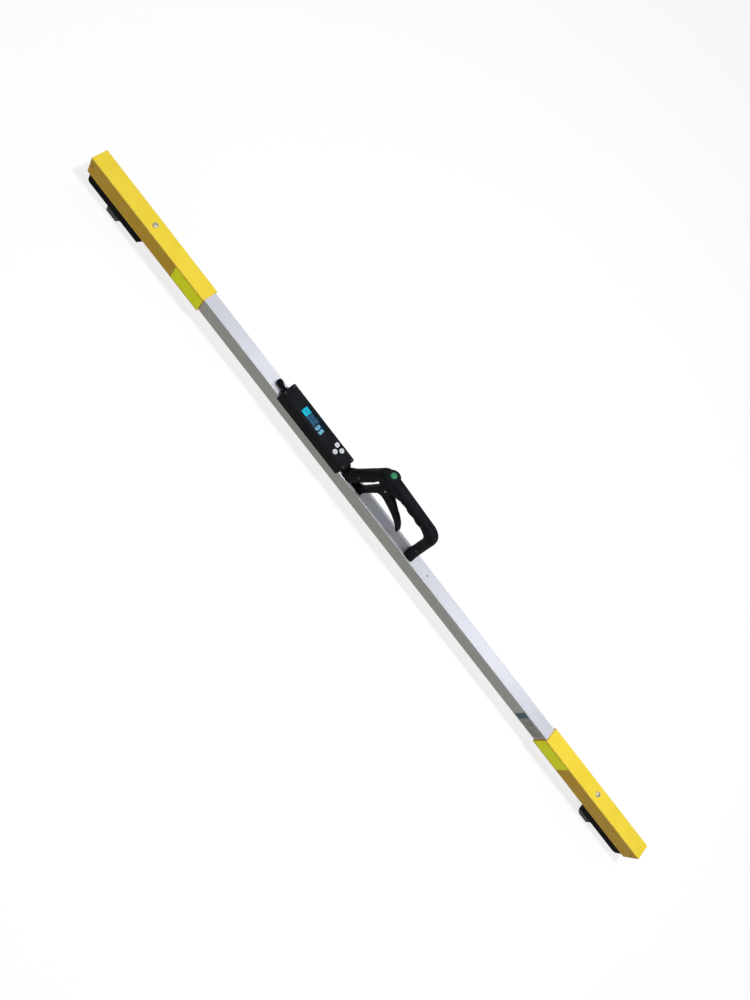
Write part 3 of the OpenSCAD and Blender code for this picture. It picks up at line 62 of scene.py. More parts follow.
# Handle: its centre line in the plane along the bar, from the left foot to the right, and its section
HANDLE_LINE = [(-111.2, 80.0), (-78.6, 192.0), (55.5, 184.2), (70.5, 80.0)]
BEND_R = 20.0
GRIP_W = 22.0
GRIP_D = 20.5
GRIP_R = 9.4
FOOT_R = 4.0
FOOT_Z = 81.5
FOOT_FLARE = 0.6
FOOT_FLARE_H = 26.0
SEAM_GAP = 0.12
SEAM_CHAMFER = 0.45
LEG_EXTRA = 3.6
LEG_FADE = 0.25
FILLET_R = 28.0
SWELL = 2.4
SWELL_TURN = 0.5
SWELL_REACH = 16.0
FINGER_PITCH = 22.7
FINGER_DEPTH = 1.6
FINGER_EXTRA = 1.0
FINGER_FROM = 40.0
FINGER_TO = 118.0
FINGER_RIDGE = 74.0
LEG_STEPS = 32
GRIP_STEPS = 96
BEND_STEPS = 16
CORNER_STEPS = 9

# Handle screws, as distances along the legs and the grip
LEFT_SCREW = 42.0
GRIP_SCREW = 105.0
RIGHT_SCREW = 44.0
SCREW_HEAD_R = 3.05
SCREW_HEAD_H = 2.0

# Thumb button and the pod round it, as heights from the centre of the handle's left bend
THUMB_DIR = math.radians(105)
THUMB_R = 5.8
THUMB_TOP = 33.45
THUMB_CROWN = 1.3
THUMB_CROWN_TURNS = (0.0, 0.35, 0.7, 1.05, 1.35)
THUMB_SKIRT = 5.5
THUMB_HOLE_R = 6.3
THUMB_CUT_PAST = 5
BOSS_TOP = 31.45
BOSS_H = 12.5
BOSS_R = 15.0
BOSS_LIP_W = 0.4
BOSS_LIP_H = 0.5
# Curve of the pod as (radius beyond BOSS_R, drop below BOSS_TOP)
BOSS_CURVE = [
    (-6.5, 0.1), (-5.2, 0.6), (-3.6, 1.6), (-2.0, 3.0), (-0.7, 5.0), (0.0, 7.5), (-1.2, 10.5), (-5.0, BOSS_H)]

# Pivot cheeks and the heads of the pivot pin
EAR_IN, EAR_OUT = 5.0, 9.5
EAR_R = 10.0
EAR_DOWN = 25.5
EAR_ALONG = 61.7
EAR_FROM = math.radians(36)
EAR_TO = math.radians(-165)
EAR_STEPS = 26
EAR_EDGE = 1.0
# Head of the pin as (radius, height above the cheek)
PIN_HEAD = [(0, -0.5), (2.4, -0.5), (2.4, 0.3), (1.9, 0.8), (0, 0.9)]
PIN_HEAD_STEPS = 32

# Trigger lever, from the pivot
LEVER_T = 9.0
LEVER_EDGE = 3.2
LEVER_EDGE_STEPS = 5
HUB_R = 9.0
HUB_TO = math.radians(-20)
HUB_STEPS = 24
ARM_END = (-25.4, -95.0)
ARM_END_R = 5.2
ARM_END_STEPS = 12
# Outline of the finger blade; the first and last points only lead the curve
BLADE_CURVE = [
    (6, 4), (8.5, -3.1), (23.8, -12.2), (43.0, -27.0), (52.6, -33.8), (59.8, -40.0), (66.4, -46.9),
    (70.6, -52.6), (74.0, -58.2), (76.4, -62.8), (75.6, -66.0), (71.8, -64.8), (64.9, -57.0), (55.6, -49.1),
    (43.0, -41.8), (32.8, -37.4), (12.0, -30.4), (2.0, -30.9), (-4.0, -36.5), (-8.0, -50.0)]


# Materials

# Colour sockets of a mix node
MIX_FIRST, MIX_SECOND, MIX_RESULT = 6, 7, 2


class Paint:
    """A principled material with helpers for procedural detail, in the object's own coordinates."""

    def __init__(self, name, roughness, metallic=0.0, gloss=0.5):
        self.name = name
        self.material = bpy.data.materials.new(name)
        self.material.use_nodes = True
        self.tree = self.material.node_tree
        self.shader = self.tree.nodes["Principled BSDF"]
        self.set("Roughness", roughness)
        self.set("Metallic", metallic)
        self.set("Specular IOR Level", gloss)
        self.place = self.tree.nodes.new("ShaderNodeTexCoord").outputs["Object"]

    def set(self, socket, value):
        self.shader.inputs[socket].default_value = value

    def link(self, source, socket):
        self.tree.links.new(source, self.shader.inputs[socket])

    def feed(self, socket, value):
        """Links another socket to a socket, or sets it to a constant."""
        if isinstance(value, bpy.types.NodeSocket):
            self.tree.links.new(value, socket)
        elif socket.type == "RGBA":
            socket.default_value = (*value, 1)
        else:
            socket.default_value = value

    def node(self, kind, **inputs):
        made = self.tree.nodes.new(kind)
        for name, value in inputs.items():
            self.feed(made.inputs[name], value)
        return made

    def noise(self, size_mm, detail=3.0, along=1, roughness=0.5):
        """Noise with features of about size_mm, drawn out along the bar by a factor."""
        place = self.node("ShaderNodeMapping", Vector=self.place, Scale=(1 / along, 1, 1)).outputs[0]
        return self.node("ShaderNodeTexNoise", Vector=place, Scale=1 / (size_mm * MM),
                         Detail=detail, Roughness=roughness).outputs["Fac"]

    def ramp(self, value, *stops):
        """Maps a value through (place, colour or grey) stops."""
        made = self.node("ShaderNodeValToRGB", Fac=value)
        elements = made.color_ramp.elements
        while len(elements) < len(stops):
            elements.new(1.0)
        for element, (place, colour) in zip(elements, stops):
            element.position = place
            grey = isinstance(colour, (int, float))
            element.color = (colour, colour, colour, 1) if grey else (*colour, 1)
        return made.outputs["Color"]

    def spread(self, socket, value, *stops):
        """Feeds the shader with a value mapped through stops."""
        self.link(self.ramp(value, *stops), socket)

    def mix(self, share, first, second):
        """Blends two colours or colour sockets by a share."""
        made = self.tree.nodes.new("ShaderNodeMix")
        made.data_type = "RGBA"
        self.feed(made.inputs["Factor"], share)
        self.feed(made.inputs[MIX_FIRST], first)
        self.feed(made.inputs[MIX_SECOND], second)
        return made.outputs[MIX_RESULT]

    def facing_up(self, *stops):
        """Maps how far the surface looks up, 0 on upright faces to 1 on top, through stops."""
        normal = self.tree.nodes.new("ShaderNodeNewGeometry").outputs["Normal"]
        return self.ramp(self.node("ShaderNodeSeparateXYZ", Vector=normal).outputs["Z"], *stops)

    def upward(self):
        """1 on faces that look up, 0 on the others."""
        return self.facing_up((0.4, 0.0), (0.9, 1.0))

    def bump(self, height, depth_mm):
        """Raises the surface by a height of 0 to 1 times depth_mm."""
        made = self.node("ShaderNodeBump", Height=height, Distance=depth_mm * MM, Strength=1.0)
        self.link(made.outputs["Normal"], "Normal")


def shade(colour, amount):
    return tuple(c * amount for c in colour)


def moulded(name, colour, roughness, grain_mm=0.7, depth=0.02, vary=0.25, gloss=0.3):
    """Moulded plastic: a fine grain, faint cloudiness and polished spots."""
    cloud_mm, polish_mm = 28, 9
    paint = Paint(name, roughness, gloss=gloss)
    cloud = paint.noise(cloud_mm, 4)
    paint.spread("Base Color", cloud, (0.3, shade(colour, 1 - vary)), (0.7, shade(colour, 1 + vary)))
    polish = paint.noise(polish_mm, 5)
    paint.spread("Roughness", polish, (0.3, roughness - 0.07), (0.75, roughness + 0.09))
    paint.bump(paint.noise(grain_mm, 2), depth)
    return paint


def satin_aluminium():
    """Extruded aluminium with lengthwise die lines, painted lighter on top and darker on its sides as painted
    light and shade, with painted sheen patches on top.
    """
    # The top colours are painted light and the side colours painted shade, darker and greener
    lit_top_low, lit_top_high, painted_sheen = (0.57, 0.58, 0.65), (0.65, 0.66, 0.735), (0.77, 0.78, 0.85)
    shaded_side_low, shaded_side_high = (0.51, 0.525, 0.49), (0.575, 0.59, 0.55)
    line_mm, sheen_patch_mm, grain_mm, grain_depth = 2.2, 60, 0.9, 0.012
    paint = Paint("satin_aluminium", 0.22, metallic=0.06, gloss=0.18)
    tone = paint.noise(line_mm, 4, along=220)
    sheen_patches = paint.noise(sheen_patch_mm, 3, along=3)
    lines = paint.ramp(tone, (0.25, lit_top_low), (0.75, lit_top_high))
    # Random patches blend the top towards a brighter tone, a painted sheen
    lit_top_tone = paint.mix(paint.ramp(sheen_patches, (0.35, 0.0), (0.8, 0.35)), lines, painted_sheen)
    dimmer = paint.ramp(tone, (0.25, shaded_side_low), (0.75, shaded_side_high))
    # Painted light and shade: the lighter top colour on faces that look up, the darker side colour on the
    # others
    paint.link(paint.mix(paint.upward(), dimmer, lit_top_tone), "Base Color")
    paint.spread("Roughness", tone, (0.2, 0.17), (0.8, 0.27))
    paint.bump(paint.noise(grain_mm, 2, along=400), grain_depth)
    return paint


def yellow_plastic():
    """Yellow insulating plastic with a lighter top and darker sides as painted light and shade, a painted
    highlight along its edges, and scuffs and a little dirt.
    """
    # Side colours are painted shade and top colours painted light; the edge colour is a painted highlight
    shaded_side_low, shaded_side_high = (0.90, 0.535, 0.016), (0.96, 0.585, 0.026)
    lit_top_low, lit_top_high = (0.93, 0.705, 0.050), (0.99, 0.760, 0.066)
    edge_highlight_colour, scuffed, dirty = (0.99, 0.80, 0.16), (0.96, 0.80, 0.13), (0.36, 0.24, 0.02)
    cloud_mm, scuff_mm, dirt_mm, polish_mm, grain_mm, grain_depth = 45, 1.6, 11, 7, 1.3, 0.02
    paint = Paint("yellow_sleeve", 0.4, gloss=0.08)
    cloud = paint.noise(cloud_mm, 4)
    shaded_side_colour = paint.ramp(cloud, (0.3, shaded_side_low), (0.7, shaded_side_high))
    lit_top_colour = paint.ramp(cloud, (0.3, lit_top_low), (0.7, lit_top_high))
    # Painted light and shade, chosen by which way each face looks
    faces = paint.mix(paint.upward(), shaded_side_colour, lit_top_colour)
    # A painted highlight on the rounded edges between top and sides
    edge_highlight = paint.facing_up((0.12, 0.0), (0.55, 0.75), (0.93, 0.0))
    base = paint.mix(edge_highlight, faces, edge_highlight_colour)
    scuffs = paint.ramp(paint.noise(scuff_mm, 6, along=26, roughness=0.62), (0.62, 0.0), (0.74, 0.30))
    worn = paint.mix(scuffs, base, scuffed)
    dirt = paint.ramp(paint.noise(dirt_mm, 8, roughness=0.66), (0.60, 0.0), (0.80, 0.22))
    paint.link(paint.mix(dirt, worn, dirty), "Base Color")
    paint.spread("Roughness", paint.noise(polish_mm, 6), (0.3, 0.30), (0.75, 0.46))
    paint.bump(paint.noise(grain_mm, 4, along=9), grain_depth)
    return paint


def brushed_steel(name, low, high, roughness):
    """Turned and brushed steel."""
    brush_mm, polish_mm, grain_mm, grain_depth = 0.8, 3, 0.4, 0.008
    paint = Paint(name, roughness, metallic=0.85)
    paint.spread("Base Color", paint.noise(brush_mm, 3, along=12), (0.25, low), (0.75, high))
    polish = paint.noise(polish_mm, 4)
    paint.spread("Roughness", polish, (0.3, roughness - 0.06), (0.75, roughness + 0.12))
    paint.bump(paint.noise(grain_mm, 2, along=14), grain_depth)
    return paint


def coated_steel(name, colour, chipped, chips_from=0.68):
    """Coated steel with bare chips, more of them the lower they start."""
    cloud_mm, chip_mm, polish_mm, grain_mm, grain_depth = 6, 3.2, 4, 1.1, 0.03
    paint = Paint(name, 0.5, metallic=0.1, gloss=0.2)
    base = paint.ramp(paint.noise(cloud_mm, 5), (0.3, shade(colour, 0.8)), (0.7, shade(colour, 1.25)))
    spots = paint.noise(chip_mm, 8, roughness=0.7)
    chips = paint.ramp(spots, (chips_from, 0.0), (chips_from + 0.04, 0.8))
    paint.link(paint.mix(chips, base, chipped), "Base Color")
    paint.spread("Roughness", paint.noise(polish_mm, 4), (0.3, 0.42), (0.75, 0.6))
    paint.bump(paint.noise(grain_mm, 3), grain_depth)
    return paint


def reflective_film():
    """Yellow-green reflective film with a lattice of sealed cells, and a painted glow standing in for its
    reflection.
    """
    cell_low, cell_high, seam = (0.505, 0.555, 0.004), (0.60, 0.645, 0.008), (0.67, 0.715, 0.02)
    # The glow is painted light: the film is no lamp and the emission stands in for its reflection
    glow, painted_glow_strength = (0.47, 0.50, 0.004, 1), 0.57
    cell_mm, cloud_mm, ridge_depth = 3.2, 14, 0.03
    paint = Paint("sticker", 0.3, gloss=0.03)
    lattice = None
    for angle in (30, -30):
        turned = paint.node("ShaderNodeMapping", Vector=paint.place,
                            Rotation=(0, math.radians(angle), 0)).outputs[0]
        wave = paint.node("ShaderNodeTexWave", Vector=turned, Scale=1 / (math.pi * cell_mm * MM))
        ridge = paint.ramp(wave.outputs["Fac"], (0.86, 0.0), (0.97, 1.0))
        lattice = ridge if lattice is None else paint.mix(0.5, lattice, ridge)
    cells = paint.ramp(paint.noise(cloud_mm, 4), (0.3, cell_low), (0.7, cell_high))
    paint.link(paint.mix(paint.ramp(lattice, (0.0, 0.0), (1.0, 0.55)), cells, seam), "Base Color")
    paint.spread("Roughness", lattice, (0.0, 0.24), (1.0, 0.45))
    paint.bump(lattice, ridge_depth)
    paint.set("Emission Color", glow)
    paint.set("Emission Strength", painted_glow_strength)
    return paint


def clear_lens():
    """Clear window with a faint smear."""
    tint_low, tint_high = (0.93, 0.97, 0.98), (0.99, 1.0, 1.0)
    cloud_mm, smear_mm = 20, 7
    paint = Paint("lens", 0.06)
    paint.set("Transmission Weight", 1.0)
    paint.set("IOR", 1.12)
    paint.spread("Base Color", paint.noise(cloud_mm, 4), (0.3, tint_low), (0.7, tint_high))
    paint.spread("Roughness", paint.noise(smear_mm, 5, along=3), (0.45, 0.02), (0.8, 0.12))
    return paint


def lit(name, low, high, strength, size_mm=2.0):
    """A lit part of the display, uneven as a backlight is."""
    paint = Paint(name, 0.35, gloss=0.0)
    glow = paint.ramp(paint.noise(size_mm, 3), (0.3, low), (0.7, high))
    paint.link(glow, "Base Color")
    paint.link(glow, "Emission Color")
    paint.set("Emission Strength", strength)
    return paint


BLACK = (0.0118, 0.0126, 0.0155)
PAINTS = {paint.name: paint for paint in (
    satin_aluminium(),
    yellow_plastic(),
    moulded("black_nylon", (0.006, 0.006, 0.006), 0.6, grain_mm=1.1, depth=0.04, gloss=0.012),
    coated_steel("stop_steel", (0.024, 0.024, 0.025), chipped=(0.07, 0.07, 0.07)),
    brushed_steel("bright_steel", (0.40, 0.40, 0.41), (0.52, 0.52, 0.53), 0.3),
    coated_steel("dark_screw", (0.30, 0.12, 0.040), chipped=(0.40, 0.20, 0.09)),
    moulded("black_plastic", BLACK, 0.46, grain_mm=0.55, depth=0.012, gloss=0.012),
    moulded("black_rubber", (0.007, 0.007, 0.008), 0.65, grain_mm=0.9, depth=0.03, gloss=0.015),
    clear_lens(),
    moulded("display", (0.006, 0.020, 0.032), 0.35, grain_mm=1.5, depth=0.004),
    moulded("board_green", (0.02, 0.13, 0.055), 0.45, grain_mm=1.2, depth=0.03, vary=0.35),
    moulded("battery_wrap", (0.03, 0.10, 0.34), 0.3, grain_mm=4, depth=0.02),
    moulded("key_mat_rubber", (0.25, 0.25, 0.26), 0.7, grain_mm=0.8, depth=0.02),
    moulded("white_key", (0.70, 0.72, 0.80), 0.45, grain_mm=0.6, depth=0.01, vary=0.05),
    moulded("green_button", (0.036, 0.235, 0.105), 0.38, grain_mm=0.6, depth=0.012, vary=0.12, gloss=0.15),
    reflective_film(),
    moulded("teal_film", (0.060, 0.170, 0.230), 0.3, grain_mm=2.5, depth=0.01, vary=0.12, gloss=0.08),
    coated_steel("grey_plate", (0.36, 0.36, 0.34), chipped=(0.15, 0.145, 0.14), chips_from=0.55),
    moulded("white_plastic", (0.72, 0.72, 0.69), 0.5, grain_mm=0.8, depth=0.02, vary=0.06),
    moulded("scale_film", (0.42, 0.27, 0.06), 0.3, grain_mm=2.0, depth=0.01, vary=0.1),
)}
DULL_STEEL = brushed_steel("dull_steel", (0.15, 0.145, 0.14), (0.22, 0.215, 0.205), 0.45)
ZINC = brushed_steel("zinc", (0.40, 0.375, 0.27), (0.48, 0.455, 0.34), 0.5)
LCD_BLOCK = lit("lcd_block", (0.006, 0.32, 0.45), (0.018, 0.43, 0.56), 0.45)
LCD_DIGITS = lit("lcd_digits", (0.17, 0.44, 0.58), (0.25, 0.53, 0.67), 0.45)
LCD_DIM = lit("lcd_dim", (0.014, 0.040, 0.088), (0.032, 0.076, 0.140), 0.35, size_mm=5.0)
LCD_DARK = lit("lcd_dark", (0.003, 0.016, 0.034), (0.005, 0.026, 0.048), 0.2)
LCD_ROWS = lit("lcd_rows", (0.020, 0.16, 0.27), (0.035, 0.24, 0.36), 0.3)


# Mesh helpers

def box_mm(node):
    """The low and high corners of a CAD node's box."""
    return [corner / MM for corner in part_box(node)]


def link_piece(name, bm, body, slot, replaces=(), angle=SHARP_ANGLE, material=None):
    """Makes a mesh object in the part's frame that rides on a body."""
    bmesh.ops.recalc_face_normals(bm, faces=bm.faces)
    mesh = bpy.data.meshes.new(name)
    bm.to_mesh(mesh)
    bm.free()
    mesh.shade_smooth()
    mesh.set_sharp_from_angle(angle=math.radians(angle))
    mesh.materials.append((material or PAINTS[slot]).material)
    piece = bpy.data.objects.new(name, mesh)
    bpy.context.scene.collection.objects.link(piece)
    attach(piece, body)
    if replaces:
        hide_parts(*replaces)
    return piece


def lathe(profile, origin, axis, steps=64):
    """Turns (radius, height) points about an axis; a radius of 0 closes an end."""
    turn = Vector(UP).rotation_difference(Vector(axis)).to_matrix()
    bm = bmesh.new()
    rings = []
    for radius, height in profile:
        count = steps if radius else 1
        ring = []
        for i in range(count):
            a = 2 * math.pi * i / count
            spot = Vector((radius * math.cos(a), radius * math.sin(a), height))
            ring.append(bm.verts.new((Vector(origin) + turn @ spot) * MM))
        rings.append(ring)
    for low, high in zip(rings, rings[1:]):
        for i in range(steps):
            corners = [low[i % len(low)], low[(i + 1) % len(low)],
                       high[(i + 1) % len(high)], high[i % len(high)]]
            bm.faces.new(list(dict.fromkeys(corners)))
    return bm


def cylinder(radius, low, high, origin, axis):
    return lathe([(0, low), (radius, low), (radius, high), (0, high)], origin, axis)


def arc(centre, radius, start, end, steps):
    """Points on a circle from one direction to another, in radians."""
    return [
        (centre[0] + radius * math.cos(start + (end - start) * i / steps),
         centre[1] + radius * math.sin(start + (end - start) * i / steps))
        for i in range(steps + 1)
    ]


def skin(rings):
    """A closed solid through rings of points."""
    bm = bmesh.new()
    loops = [[bm.verts.new(Vector(point) * MM) for point in ring] for ring in rings]
    for a, b in zip(loops, loops[1:]):
        for i in range(len(a)):
            j = (i + 1) % len(a)
            bm.faces.new((a[i], a[j], b[j], b[i]))
    bm.faces.new(loops[0])
    bm.faces.new(loops[-1])
    return bm


def plate(outline, y0, y1):
    """A solid between two planes across the bar, from an outline along and up."""
    return skin([[(x, y, z) for x, z in outline] for y in (y0, y1)])


def round_edges(piece, width, segments=3, angle=35):
    """Rounds a piece's sharp edges."""
    bevel = piece.modifiers.new("rounded", "BEVEL")
    bevel.width = width * MM
    bevel.segments = segments
    bevel.limit_method = "ANGLE"
    bevel.angle_limit = math.radians(angle)
    bevel.use_clamp_overlap = True
    normals = piece.modifiers.new("normals", "WEIGHTED_NORMAL")
    normals.keep_sharp = False


def cut(piece, bms):
    """Takes solids away from a piece for good."""
    for bm in bms:
        bmesh.ops.recalc_face_normals(bm, faces=bm.faces)
        mesh = bpy.data.meshes.new("cutter")
        bm.to_mesh(mesh)
        bm.free()
        cutter = bpy.data.objects.new("cutter", mesh)
        bpy.context.scene.collection.objects.link(cutter)
        boolean = piece.modifiers.new("cut", "BOOLEAN")
        boolean.object = cutter
        boolean.operation = "DIFFERENCE"
        bpy.context.view_layer.update()
        whole = piece.evaluated_get(bpy.context.evaluated_depsgraph_get())
        made = bpy.data.meshes.new_from_object(whole)
        piece.modifiers.clear()
        old, piece.data = piece.data, made
        made.name = piece.name
        bpy.data.meshes.remove(old)
        bpy.data.objects.remove(cutter)
    piece.data.set_sharp_from_angle(angle=math.radians(SHARP_ANGLE))


# Handle

def heading(a, b):
    return math.atan2(b[1] - a[1], b[0] - a[0])


HEADINGS = [heading(a, b) for a, b in zip(HANDLE_LINE, HANDLE_LINE[1:])]


def along(start, direction, distance):
    return (start[0] + distance * math.cos(direction), start[1] + distance * math.sin(direction))


def tangent_length(i):
    """How far the bend at corner i reaches along its two runs."""
    return BEND_R * math.tan((HEADINGS[i - 1] - HEADINGS[i]) / 2)


def bend_centre(i):
    start = along(HANDLE_LINE[i], HEADINGS[i - 1], -tangent_length(i))
    return along(start, HEADINGS[i - 1] - math.pi / 2, BEND_R)


def handle_stations():
    """(point, heading, run, distance from the run's first corner) along the centre line; bends are run -1."""
    stations = []
    for run, direction in enumerate(HEADINGS):
        a, b = HANDLE_LINE[run], HANDLE_LINE[run + 1]
        length = math.dist(a, b)
        first = tangent_length(run) if run else 0.0
        last = length - (tangent_length(run + 1) if run < 2 else 0.0)
        count = GRIP_STEPS if run == 1 else LEG_STEPS
        for i in range(count + 1):
            s = first + (last - first) * i / count
            stations.append((along(a, direction, s), direction, run, s))
        if run < 2:
            centre, turn = bend_centre(run + 1), HEADINGS[run + 1] - direction
            for i in range(1, BEND_STEPS):
                h = direction + turn * i / BEND_STEPS
                stations.append((along(centre, h + math.pi / 2, BEND_R), h, -1, 0.0))
    return stations


def grip_section(top, bottom, half_w, r):
    """Points (across, outward) of the near half of the handle, from the inner seam round to the outer one."""
    inner_edge = [(-SEAM_GAP, -bottom + SEAM_CHAMFER), (-SEAM_GAP - SEAM_CHAMFER, -bottom)]
    lower = arc((-half_w + r, -bottom + r), r, -math.pi / 2, -math.pi, CORNER_STEPS)
    upper = arc((-half_w + r, top - r), r, math.pi, math.pi / 2, CORNER_STEPS)
    outer_edge = [(-SEAM_GAP - SEAM_CHAMFER, top), (-SEAM_GAP, top - SEAM_CHAMFER)]
    return inner_edge + lower + upper + outer_edge


def inner_fillet(point, h, run, s):
    """Depth from the centre line to the wide round inside the right corner, or 0 away from it."""
    half_turn = (HEADINGS[1] - HEADINGS[2]) / 2
    reach = (FILLET_R + GRIP_D / 2) * math.tan(half_turn)
    to_corner = math.dist(HANDLE_LINE[1], HANDLE_LINE[2]) - s
    near = run == 1 and to_corner < reach or run == 2 and s < reach or run == -1 and point[0] > 0
    if not near:
        return 0.0
    start = along(HANDLE_LINE[2], HEADINGS[1], -reach)
    centre = along(start, HEADINGS[1] - math.pi / 2, FILLET_R + GRIP_D / 2)
    inward = (math.sin(h), -math.cos(h))
    gap = (point[0] - centre[0], point[1] - centre[1])
    half = gap[0] * inward[0] + gap[1] * inward[1]
    return -half - math.sqrt(max(0.0, half ** 2 - gap[0] ** 2 - gap[1] ** 2 + FILLET_R ** 2))


def finger_wave(run, s):
    """How far the underside of the grip stands out at a distance from the left corner."""
    if run != 1 or not FINGER_FROM < s < FINGER_TO:
        return 0.0
    fade = math.sin(math.pi * (s - FINGER_FROM) / (FINGER_TO - FINGER_FROM)) ** 0.5
    wave = math.cos(2 * math.pi * (s - FINGER_RIDGE) / FINGER_PITCH)
    return fade * (FINGER_EXTRA + FINGER_DEPTH * wave)


def leg_extra(run, z):
    """How much deeper the left leg's underside is, fading out towards its foot and its bend."""
    if run != 0:
        return 0.0
    share = (z - FOOT_Z) / (HANDLE_LINE[1][1] - BEND_R - FOOT_Z)
    return LEG_EXTRA * min(1.0, share / LEG_FADE, max(0.0, 1 - share) / LEG_FADE)


def bend_swell(point):
    """How much the outside of the left bend stands out near a share of its turn."""
    h = HEADINGS[0] + SWELL_TURN * (HEADINGS[1] - HEADINGS[0])
    off = math.dist(point, along(bend_centre(1), h + math.pi / 2, BEND_R)) / SWELL_REACH
    return SWELL * (1 + math.cos(math.pi * min(1.0, off))) / 2


def handle_half(side):
    """One moulded half of the handle, closed at its seam and its feet."""
    rings = []
    stations = handle_stations()
    for number, ((x, z), h, run, s) in enumerate(stations):
        near_foot = max(0.0, 1 - (z - FOOT_Z) / FOOT_FLARE_H) if run in (0, 2) else 0.0
        flare = FOOT_FLARE * near_foot ** 2
        bottom = GRIP_D / 2 + flare + finger_wave(run, s) + leg_extra(run, z)
        bottom = max(bottom, inner_fillet((x, z), h, run, s))
        ring = []
        corner_r = GRIP_R + (FOOT_R - GRIP_R) * near_foot
        top = GRIP_D / 2 + flare + bend_swell((x, z))
        for y, v in grip_section(top, bottom, GRIP_W / 2 + flare, corner_r):
            spot = Vector((x - v * math.sin(h), side * -y, z + v * math.cos(h)))
            if number in (0, len(stations) - 1):
                spot += Vector((math.cos(h), 0, math.sin(h))) * ((FOOT_Z - spot.z) / math.sin(h))
            ring.append(spot)
        rings.append(ring)
    return skin(rings)


LEFT_BEND = bend_centre(1)
THUMB_AXIS = (math.cos(THUMB_DIR), 0.0, math.sin(THUMB_DIR))
THUMB_ORIGIN = (LEFT_BEND[0], 0.0, LEFT_BEND[1])
SCREW_SPOTS = [
    along(HANDLE_LINE[0], HEADINGS[0], LEFT_SCREW),
    along(HANDLE_LINE[1], HEADINGS[1], GRIP_SCREW),
    along(HANDLE_LINE[3], HEADINGS[2], -RIGHT_SCREW),
]


def thumb_hole():
    return cylinder(THUMB_HOLE_R, GRIP_D / 2, THUMB_TOP + THUMB_CUT_PAST, THUMB_ORIGIN, THUMB_AXIS)


def screw_recess(spot):
    return cylinder(SCREW_HEAD_R, GRIP_W / 2 - SCREW_HEAD_H, GRIP_W, (spot[0], 0, spot[1]), (0, -1, 0))


near_shell = link_piece("handle_near_shell", handle_half(-1), "beam", "black_plastic", ["handle_near_half"])
cut(near_shell, [thumb_hole()] + [screw_recess(spot) for spot in SCREW_SPOTS])
far_shell = link_piece("handle_far_shell", handle_half(1), "beam", "black_plastic", ["handle_far_half"])
cut(far_shell, [thumb_hole()])

# Pod round the thumb button: a ring on a dome that swells out of the handle's outer bend
boss_profile = [
    (THUMB_HOLE_R, BOSS_TOP - BOSS_H),
    (THUMB_HOLE_R, BOSS_TOP - BOSS_LIP_H),
    (THUMB_HOLE_R + BOSS_LIP_W, BOSS_TOP),
    *[(BOSS_R + out, BOSS_TOP - drop) for out, drop in BOSS_CURVE],
    (THUMB_HOLE_R, BOSS_TOP - BOSS_H),
]
link_piece("thumb_boss", lathe(boss_profile, THUMB_ORIGIN, THUMB_AXIS), "beam", "black_plastic")

# Thumb button with a crowned top
crown = [
    (THUMB_R * math.cos(a), THUMB_TOP - THUMB_CROWN + THUMB_CROWN * math.sin(a)) for a in THUMB_CROWN_TURNS]
button_profile = [(0, BOSS_TOP - THUMB_SKIRT), (THUMB_R, BOSS_TOP - THUMB_SKIRT), *crown, (0, THUMB_TOP)]
link_piece("thumb_cap", lathe(button_profile, THUMB_ORIGIN, THUMB_AXIS),
           "thumb", "green_button", ["thumb_button"])

# Pivot cheeks under the left bend, and the heads of the pin through them
pivot_low, pivot_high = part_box("pivot_pin")
PIVOT = ((pivot_low.x + pivot_high.x) / 2 / MM, (pivot_low.z + pivot_high.z) / 2 / MM)


def ear_outline():
    leg = along(HANDLE_LINE[1], HEADINGS[0], -EAR_DOWN)
    grip = along(HANDLE_LINE[1], HEADINGS[1], EAR_ALONG)
    return [leg, HANDLE_LINE[1], grip] + arc(PIVOT, EAR_R, EAR_FROM, EAR_TO, EAR_STEPS)


for name, low, high in (("near_cheek", -EAR_OUT, -EAR_IN), ("far_cheek", EAR_IN, EAR_OUT)):
    round_edges(link_piece(name, plate(ear_outline(), low, high), "beam", "black_plastic"), EAR_EDGE)

pin_head = [(radius, EAR_OUT + height) for radius, height in PIN_HEAD]
for name, side in (("near_pin_head", -1), ("far_pin_head", 1)):
    head = lathe(pin_head, (PIVOT[0], 0, PIVOT[1]), (0, side, 0), PIN_HEAD_STEPS)
    link_piece(name, head, "beam", "bright_steel", material=DULL_STEEL)


# Trigger lever: hub, finger blade tapering to a round tip, and arm down into the bar

def smooth(points, steps=8):
    """A curve through points, leaving out the first and last."""
    curve = []
    for a, b, c, d in zip(points, points[1:], points[2:], points[3:]):
        for i in range(steps):
            t = i / steps
            curve.append(tuple(
                0.5 * (2 * q + (r - p) * t + (2 * p - 5 * q + 4 * r - u) * t ** 2
                       + (3 * q - p - 3 * r + u) * t ** 3)
                for p, q, r, u in zip(a, b, c, d)))
    return curve


def lever_outline():
    arm_dir = heading((0, 0), ARM_END)
    hub = arc((0, 0), HUB_R, arm_dir - math.pi / 2, HUB_TO, HUB_STEPS)
    end = arc(ARM_END, ARM_END_R, arm_dir + math.pi / 2, arm_dir - math.pi / 2, ARM_END_STEPS)
    return [(PIVOT[0] + x, PIVOT[1] + z) for x, z in hub + smooth(BLADE_CURVE) + end]


lever = link_piece("trigger_blade", plate(lever_outline(), -LEVER_T / 2, LEVER_T / 2),
                   "trigger", "black_plastic", ["trigger_lever"])
round_edges(lever, LEVER_EDGE, LEVER_EDGE_STEPS)


# Strip that follows the arm and closes its slot in the bar, and the pad between slot and foot

